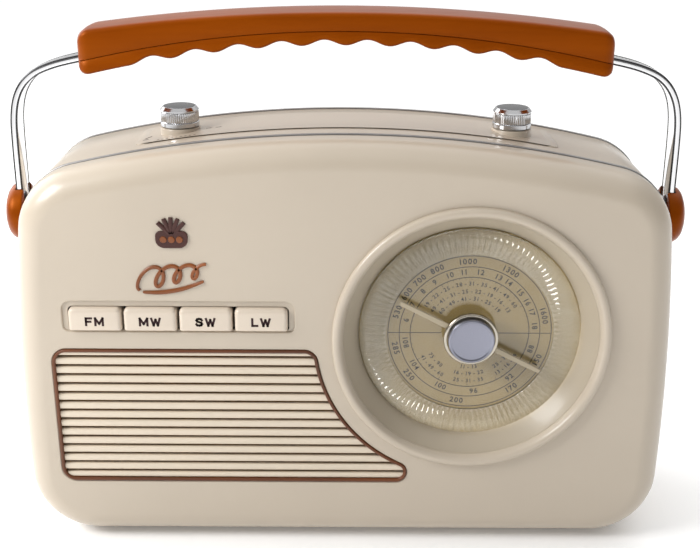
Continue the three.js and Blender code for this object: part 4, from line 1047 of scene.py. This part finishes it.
def catmull(points, per_span):
    """A smooth run through the points, with its direction at each step."""
    padded = [points[0], *points, points[-1]]
    run = []
    for i in range(1, len(padded) - 2):
        p0, p1, p2, p3 = (Vector((*padded[i + k], 0)) for k in (-1, 0, 1, 2))
        square = 2 * p0 - 5 * p1 + 4 * p2 - p3
        cube = 3 * p1 - p0 - 3 * p2 + p3
        for step in range(per_span + (i == len(padded) - 3)):
            t = step / per_span
            point = 0.5 * (2 * p1 + (p2 - p0) * t + square * t**2 + cube * t**3)
            slope = 0.5 * ((p2 - p0) + 2 * square * t + 3 * cube * t**2)
            run.append((point, slope.normalized()))
    return run


def strap_rings(side, section):
    """A section of (across, out) points carried along the strap's route."""
    rings = []
    for point, along in catmull(STRAP_ROUTE, 5):
        rings.append([
            (side * (point.x + along.y * out), PIVOT_Y + across, point.y - along.x * out)
            for across, out in section
        ])
    return rings


def build_straps():
    """Two bent straps, each with a dark line along its four edges: painted dark reflection on the rounded
    chrome.
    """
    width, thickness, radius, bead = 11.5, 3.0, 0.9, 0.48
    section = rounded_box_outline(-width / 2, width / 2, -thickness / 2, thickness / 2, (radius,) * 4, 3)
    for side, name in ((-1, "left"), (1, "right")):
        strap = loft(f"strap_{name}", strap_rings(side, section), CHROME, smooth=60)
        place(strap, "handle", "strap_chrome", f"handle_arm_{name}")
        # Thin dark tubes along each edge of the strap: painted dark reflection, not a real bead.
        painted_reflection_lines = []
        for across_side, out_side in ((-1, -1), (-1, 1), (1, -1), (1, 1)):
            across, out = across_side * (width / 2 - 0.4), out_side * (thickness / 2 - 0.4)
            turns = [TAU * step / 8 for step in range(8)]
            circle = [(across + bead * math.cos(turn), out + bead * math.sin(turn)) for turn in turns]
            painted_reflection_lines.append(loft("bead", strap_rings(side, circle), PAINTED_REFLECTION_DARK, smooth=60))
        place(joined(f"strap_painted_reflection_lines_{name}", painted_reflection_lines, PAINTED_REFLECTION_DARK), "handle", "strap_chrome")


def parabola(crown, radius):
    return lambda x: crown - x * x / (2 * radius)


GRIP_TOP = parabola(238.5, 794)
GRIP_PARTING = parabola(230.2, 486)
SCALLOP_LINE = parabola(223.9, 471)
GRIP_HALF_LENGTH = 114
GRIP_HALF_WIDTH = 13
SCALLOP_PITCH = 18.4


def grip_underside(x):
    """Finger hollows with soft ridges between them, fading into a plain run at each end."""
    if abs(x) >= 5 * SCALLOP_PITCH:
        return SCALLOP_LINE(x)
    phase = x / SCALLOP_PITCH % 1
    wave = 0.5 - 0.5 * math.cos(TAU * phase)
    return SCALLOP_LINE(x) + 2.4 * wave


def grip_half(name, outer, gap, corner, node):
    """Half of the grip: sections along X from the parting line to the outer surface, with rounded ends."""
    end_radius = 5.0
    edge = quarter_round(6)
    inner = GRIP_HALF_LENGTH - end_radius
    count = 200
    right_end = [(GRIP_HALF_LENGTH - end_radius * short, end_radius * 0.6 * past) for short, past in edge]
    left_end = [(-x, shrink) for x, shrink in reversed(right_end)]
    middle = [(-inner + 2 * inner * i / count, 0) for i in range(1, count)]
    rings = []
    for x, shrink in [*left_end, *middle, *right_end]:
        base = GRIP_PARTING(x) + gap
        direction = 1 if outer(x) > base else -1
        far = outer(x) - direction * shrink * 1.4
        width = GRIP_HALF_WIDTH - shrink
        half = [(width - 0.25, base), (width, base + direction * 0.25)]
        half += [(width - corner * past, far - direction * corner * short) for short, past in edge]
        crown = 0.35 * direction
        half.append(((width - corner) * 0.5, far + crown * 0.7))
        half.append((0, far + crown))
        mirrored = [(-y, z) for y, z in half[-2::-1]]
        rings.append([(x, PIVOT_Y + y, z) for y, z in [*half, *mirrored]])
    piece = loft(name, rings, CARAMEL, smooth=50)
    place(piece, "handle", "caramel", node)


def build_grip():
    grip_half("grip_top", lambda x: GRIP_TOP(x) - 0.35, 0.1, 2.6, "grip_upper")
    grip_half("grip_fingers", lambda x: grip_underside(x) + 0.35, -0.1, 1.4, "grip_lower")


CAP_PROFILE = [
    (0, 144.2), (12.6, 144.2), (13.1, 144.6), (13.2, 145.4), (13.1, 147.6), (12.8, 149.0),
    (12.0, 150.4), (10.7, 151.5), (8.8, 152.3), (6.2, 152.65), (3.0, 152.8), (0, 152.8),
]
PIN_PROFILE = [
    (0, 132), (6.0, 132), (6.5, 132.4), (6.5, 134.5), (4, 134.5), (4, 140.9), (8.6, 140.9),
    (9, 141.3), (9, 143.2), (8.6, 143.6), (4, 143.6), (4, 149.2), (0, 149.5),
]


def build_pivots():
    """The caps at the foot of the handle, notched for the straps, and the pins inside them."""
    centre = (0, PIVOT_Y, PIVOT_Z)
    for side, name in ((-1, "left"), (1, "right")):
        cap_profile, pin_profile = (
            [(radius, side * reach) for radius, reach in profile] for profile in (CAP_PROFILE, PIN_PROFILE)
        )
        cap = lathe(f"cap_{name}", cap_profile, "X", centre, CARAMEL, 72, smooth=50)
        x0, x1 = sorted((side * 140, side * 148.1))
        notch = bar("notch", (x0, PIVOT_Y - 6.1, 138.6), (x1, PIVOT_Y + 6.1, 170), CARAMEL)
        combine(cap, [notch])
        cap = soften(recleaned(cap, 40), 0.4, 2)
        place(cap, "handle", "caramel", f"pivot_cap_{name}")
        pivot = lathe(f"pin_{name}", pin_profile, "X", centre, STEEL, 40)
        place(pivot, "case", "fastener_steel", f"pivot_pin_{name}")


# ---------- emblems ----------
def ribbon(name, route, half_width, front, back, material, taper=0.45):
    """A raised stroke along a smooth route of (x, z) points, thinner at both ends."""
    run = catmull(route, 8)
    shoulder = front + 0.25
    section = [(-1, back), (-1, shoulder), (-0.55, front), (0.55, front), (1, shoulder), (1, back)]
    rings = []
    for index, (point, along) in enumerate(run):
        share = index / (len(run) - 1)
        reach = half_width * (taper + (1 - taper) * math.sin(math.pi * share) ** 0.5)
        rings.append([(point.x + along.y * reach * s, y, point.y - along.x * reach * s) for s, y in section])
    return loft(name, rings, material, smooth=40)


def build_emblems():
    """A plain shield under a fan of rays, and a flowing looped stroke below it."""
    centre_x, centre_z = -72.7, 151.5
    front, back = FACE_Y - 0.8, FACE_Y + 0.05
    half_width = 6.8
    shield = rounded_box_outline(
        centre_x - half_width, centre_x + half_width, centre_z - 6.9, centre_z + 0.6, (3.6, 3.6, 2.2, 2.2)
    )
    badge = plate("emblem_base", shield, FACE_Y - 0.75, back, EMBLEM)
    soften(badge, 0.25, 2)
    place(badge, "case", "emblem_brown", "badge")
    marks = []
    for degrees in (46, 68, 90, 112, 134):
        ux, uz = math.cos(math.radians(degrees)), math.sin(math.radians(degrees))
        ray = [(centre_x + r * ux, centre_z - 1.5 + r * uz) for r in (1.0, 3.5, 6.0, 8.0)]
        marks.append(ribbon("ray", ray, 0.95, front, back, EMBLEM, 0.9))
    place(joined("emblem_rays", marks, EMBLEM), "case", "emblem_brown")
    studs = []
    dome = [(0, FACE_Y - 1.2), (1.3, FACE_Y - 1.1), (1.55, FACE_Y - 0.6), (0, FACE_Y - 0.6)]
    for offset in (-3.4, 0, 3.4):
        studs.append(lathe("stud", dome, "Y", (centre_x + offset, 0, centre_z - 3.1), SCRIPT, 24))
    place(joined("emblem_studs", studs, SCRIPT), "case", "emblem_brown")
    loops, steps, span = 3.5, 42, 25
    route = []
    for i in range(steps + 1):
        share = i / steps
        turn = TAU * loops * share
        swing = 5.2 - 2.4 * share
        z = 130.6 + 4.0 * share - swing * math.cos(turn)
        route.append((-85.6 + span * share - 3.4 * math.sin(turn) * (1 - 0.3 * share) + 0.3 * (z - 131), z))
    underline = [(-86.0, 124.6), (-78, 124.6), (-69, 126.2), (-60, 129.6)]
    pieces = [
        ribbon("loops", route, 0.85, front, back, SCRIPT, 0.7),
        ribbon("under", underline, 0.9, front, back, SCRIPT),
    ]
    place(joined("flourish", pieces, SCRIPT), "case", "emblem_brown", "name_flourish")


# ---------- back ----------
SCREW_NODES = [f"case_screw_{i}" for i in (1, 2, 3, 4)]


def build_rear_cover():
    """The rear cover: a step at the top for the aerial, vents, and holes for door, inlet and screws."""
    cover = tray("cover_rear", REAR_RIM_Y, BACK_Y, REAR_INSET, EDGE_RADIUS)
    hollow = tray("hollow", REAR_RIM_Y - 1, BACK_Y - WALL, REAR_INSET + WALL, EDGE_RADIUS - WALL)
    combine(cover, [hollow])
    rebate_x, rebate_y, rebate_z = 110, 36.5, 163.3
    beyond_x, cut_y = -160, BACK_Y + 2
    wall_outer = tray("wall", REAR_RIM_Y, BACK_Y, REAR_INSET, EDGE_RADIUS)
    low = (beyond_x, rebate_y - WALL, rebate_z - WALL)
    limits = bar("limits", low, (rebate_x + WALL, BACK_Y + 1, TOP_Z + 2), CREAM)
    combine(wall_outer, [limits], "INTERSECT")
    combine(cover, [wall_outer], "UNION")
    tools = [bar("rebate", (beyond_x, rebate_y, rebate_z), (rebate_x, BACK_Y + 1, TOP_Z + 3), CREAM)]
    low, high = node_box("battery_door")
    outline = rounded_box_outline(low.x - 0.4, high.x + 0.4, low.z - 0.4, high.z + 0.4, (2.4,) * 4)
    tools.append(plate("door_hole", outline, BACK_Y - 6, cut_y, CREAM))
    low, high = node_box("mains_inlet")
    inlet = (low.x - 0.3, BACK_Y - 8, low.z - 0.3), (high.x + 0.3, cut_y, high.z + 0.3)
    tools.append(bar("inlet_hole", *inlet, CREAM))
    for row in range(9):
        z = 84 + row * 6
        outline = rounded_box_outline(-112, -36, z, z + 2.4, (1.15,) * 4)
        tools.append(plate("vent", outline, BACK_Y - 6, cut_y, CREAM))
    for name in SCREW_NODES:
        x, z = node_middle(name)
        tools.append(lathe("screw_hole", [(3.9, 42.4), (3.9, cut_y)], "Y", (x, 0, z), CREAM, 40))
    combine(cover, tools)
    cover = soften(recleaned(cover), 0.5)
    place(cover, "case", "case_cream", "rear_cover")


def build_door():
    low, high = node_box("battery_door")
    outline = rounded_box_outline(low.x, high.x, low.z, high.z, (2.2,) * 4)
    door = plate("door", outline, low.y, high.y - 0.35, CREAM)
    grooves = []
    for i in range(5):
        x = low.x + 8 + i * 2.6
        outline = rounded_box_outline(x, x + 1.3, low.z + 14, high.z - 14, (0.6,) * 4)
        grooves.append(plate("groove", outline, high.y - 1.2, high.y + 1, CREAM))
    combine(door, grooves)
    door = soften(recleaned(door), 0.3, 2)
    place(door, "hatch", "case_cream", "battery_door")


SCREW_PROFILE = [
    (0, 12), (0.6, 12.0), (1.6, 14), (1.6, 42.7), (3.4, 42.7), (3.5, 43.0), (3.4, 43.5),
    (2.8, 44.05), (1.6, 44.45), (0, 44.6),
]


def build_screws():
    """Cross-slotted screws."""
    for name in SCREW_NODES:
        x, z = node_middle(name)
        screw = lathe(f"{name}_head", SCREW_PROFILE, "Y", (x, 0, z), STEEL, 40, smooth=40)
        slots = [
            bar("slot", (x - reach_x, 43.4, z - reach_z), (x + reach_x, 46, z + reach_z), STEEL)
            for reach_x, reach_z in ((2, 0.4), (0.4, 2))
        ]
        combine(screw, slots)
        place(recleaned(screw, 30), "case", "fastener_steel", name)


def build_aerial():
    """The knuckle and the three tubes, each drawn from its near end to its far end."""
    x, z = node_middle("aerial_swivel")
    foot = node_box("aerial_swivel")[0].y
    low, high = node_box("aerial_tube_1")
    y = (low.y + high.y) / 2
    knuckle = [(0, foot), (2.2, foot), (2.2, 37.5), (3.7, 37.5), (4, 37.8), (4, 44.0), (3.7, 44.4), (0, 44.4)]
    place(lathe("knuckle", knuckle, "Y", (x, 0, z), STEEL, 40), "aerial", "fastener_steel", "aerial_swivel")

    def tube(name, body, node, shape, closed):
        far, near = (corner.x for corner in node_box(node))
        piece = lathe(name, shape(near, far), "X", (0, y, z), CHROME, 32, closed=closed, smooth=50)
        place(piece, body, "strap_chrome", node)

    tube("tube_outer", "aerial", "aerial_tube_1", lambda near, far: [
        (2.1, near), (2.45, near), (2.5, near - 0.3), (2.5, near - 2.5), (2.25, near - 2.9),
        (2.25, near - 3.4), (2.5, near - 3.8), (2.5, far + 0.5), (2.3, far), (1.9, far),
        (1.9, far + 4), (1.9, near),
    ], True)
    tube("tube_inner", "aerial_middle", "aerial_tube_2", lambda near, far: [
        (1.3, near), (1.7, near), (1.7, far + 0.3), (1.5, far), (1.3, far),
    ], True)
    tube("tube_tip", "aerial_end", "aerial_tip", lambda near, far: [
        (0, near), (1, near), (1, far + 7), (2.2, far + 7), (2.5, far + 6.6), (2.5, far + 4.6),
        (2.1, far + 4.2), (2.5, far + 3.8), (2.5, far + 1.2), (2.1, far + 0.4), (1.2, far + 0.05), (0, far),
    ], False)


def build_battery():
    """Four round cells with a jacket and a contact button each."""
    low, high = node_box("battery_pack")
    radius = (high.y - low.y) / 4 * 2
    length = (high.x - low.x) / 2
    middle_y = (low.y + high.y) / 2
    jackets = []
    ends = []
    for column in range(2):
        for row in range(2):
            centre = (0, middle_y, low.z + radius + row * (high.z - low.z - 2 * radius))
            x0 = low.x + column * length + 0.3
            x1 = x0 + length - 0.8
            r = radius - 0.25
            jacket = [
                (0, x0 + 1), (r - 0.6, x0 + 1), (r, x0 + 1.5), (r, x1 - 2.2), (r - 0.6, x1 - 1.6),
                (0, x1 - 1.6),
            ]
            jackets.append(lathe("jacket", jacket, "X", centre, CELL_JACKET, 48))
            contact = [
                (0, x1 - 1.7), (r - 2, x1 - 1.7), (r - 2.4, x1 - 1.2), (3, x1 - 1.2), (3, x1 - 0.1),
                (2.6, x1), (0, x1),
            ]
            ends.append(lathe("contact", contact, "X", centre, STEEL, 40))
    place(joined("cells", jackets, CELL_JACKET), "case", "cell_jacket", "battery_pack")
    place(joined("cell_contacts", ends, STEEL), "case", "cell_jacket")


# ---------- nodes that keep their CAD shape ----------
CARRIED = {
    "speaker_frame": FRAME_PAINT,
    "speaker_cone": PAPER,
    "speaker_magnet": MAGNET,
    "tuning_capacitor": STEEL,
    "main_board": BOARD,
    "band_switch": BLACK,
    "ferrite_rod": FERRITE,
    "transformer": WINDING,
    "mains_inlet": BLACK,
    "battery_holder": BLACK,
    "volume_control": STEEL,
    "tone_control": STEEL,
    "volume_shaft": BRASS,
    "tone_shaft": BRASS,
    "tuning_gear": BRASS,
    "capacitor_gear": BRASS,
}


def dress_carried_nodes():
    for name, material in CARRIED.items():
        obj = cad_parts[name]
        obj.data.materials.clear()
        obj.data.materials.append(material)


# ---------- stage ----------
def build_stage():
    """A white floor, a sky brighter above and behind the part, and two square lights."""
    half = 60.0
    corners = [(-half, -half, 0), (half, -half, 0), (half, half, 0), (-half, half, 0)]
    mesh = bpy.data.meshes.new("floor")
    mesh.from_pydata(corners, [], [(0, 1, 2, 3)])
    floor = bpy.data.objects.new("floor", mesh)
    bpy.context.scene.collection.objects.link(floor)
    paper = matte("floor_white", (0.97, 0.97, 0.97), roughness=0.9, grain=40, bump=0.0, shift=0.01)
    shader = paper.node_tree.nodes["Principled BSDF"]
    shader.inputs["Emission Color"].default_value = (1, 1, 1, 1)
    shader.inputs["Emission Strength"].default_value = 0.1
    mesh.materials.append(paper)

    world = bpy.data.worlds.new("studio")
    bpy.context.scene.world = world
    world.use_nodes = True
    nodes, links = world.node_tree.nodes, world.node_tree.links
    coordinates = nodes.new("ShaderNodeTexCoord")
    split = nodes.new("ShaderNodeSeparateXYZ")
    links.new(coordinates.outputs["Generated"], split.inputs["Vector"])
    greys = [(0.0, 0.17), (0.3, 0.2), (0.62, 0.42), (0.8, 1.0), (1.0, 1.0)]
    height = [(level, (grey,) * 3) for level, grey in greys]
    overhead = add_ramp(nodes, links, split.outputs["Z"], height)
    behind = nodes.new("ShaderNodeMapRange")
    behind.inputs["From Min"].default_value = -0.2
    behind.inputs["To Min"].default_value = 0.55
    behind.inputs["To Max"].default_value = 2.2
    links.new(split.outputs["Y"], behind.inputs["Value"])
    strength = nodes.new("ShaderNodeMath")
    strength.operation = "MULTIPLY"
    strength.inputs[1].default_value = 1.55
    links.new(behind.outputs["Result"], strength.inputs[0])
    links.new(overhead, nodes["Background"].inputs["Color"])
    links.new(strength.outputs["Value"], nodes["Background"].inputs["Strength"])

    add_light("key", (-0.56, -0.28, 0.48), (-0.02, 0, 0.12), 0.28, 3.8)
    add_light("fill", (-0.9, 0.5, 0.6), (0, 0, 0.12), 0.8, 5)


def add_light(name, position, target, size, power):
    light = bpy.data.lights.new(name, "AREA")
    light.shape = "SQUARE"
    light.size = size
    light.energy = power
    obj = bpy.data.objects.new(name, light)
    obj.location = position
    obj.rotation_euler = (Vector(target) - Vector(position)).to_track_quat("-Z", "Y").to_euler()
    bpy.context.scene.collection.objects.link(obj)


def build_camera():
    camera = bpy.data.cameras.new("camera")
    camera.sensor_width = 36
    camera.lens = 57.24
    obj = bpy.data.objects.new("camera", camera)
    obj.location = (0.00217, -0.4845, 0.2985)
    tilt = Matrix.Rotation(math.radians(69.5), 4, "X")
    roll = Matrix.Rotation(math.radians(0.3), 4, "Z")
    obj.rotation_euler = (tilt @ roll).to_euler()
    camera.clip_start = 0.01
    bpy.context.scene.collection.objects.link(obj)
    bpy.context.scene.camera = obj


build_camera()
build_front_shell()
build_band()
build_top_panel()
build_feet()
build_grille()
build_buttons()
build_bezel()
build_scale()
build_disc()
build_pointer_and_hub()
build_knobs()
build_straps()
build_grip()
build_pivots()
build_emblems()
build_rear_cover()
build_door()
build_screws()
build_aerial()
build_battery()
dress_carried_nodes()
build_stage()
bpy.context.scene.view_settings.view_transform = "Standard"
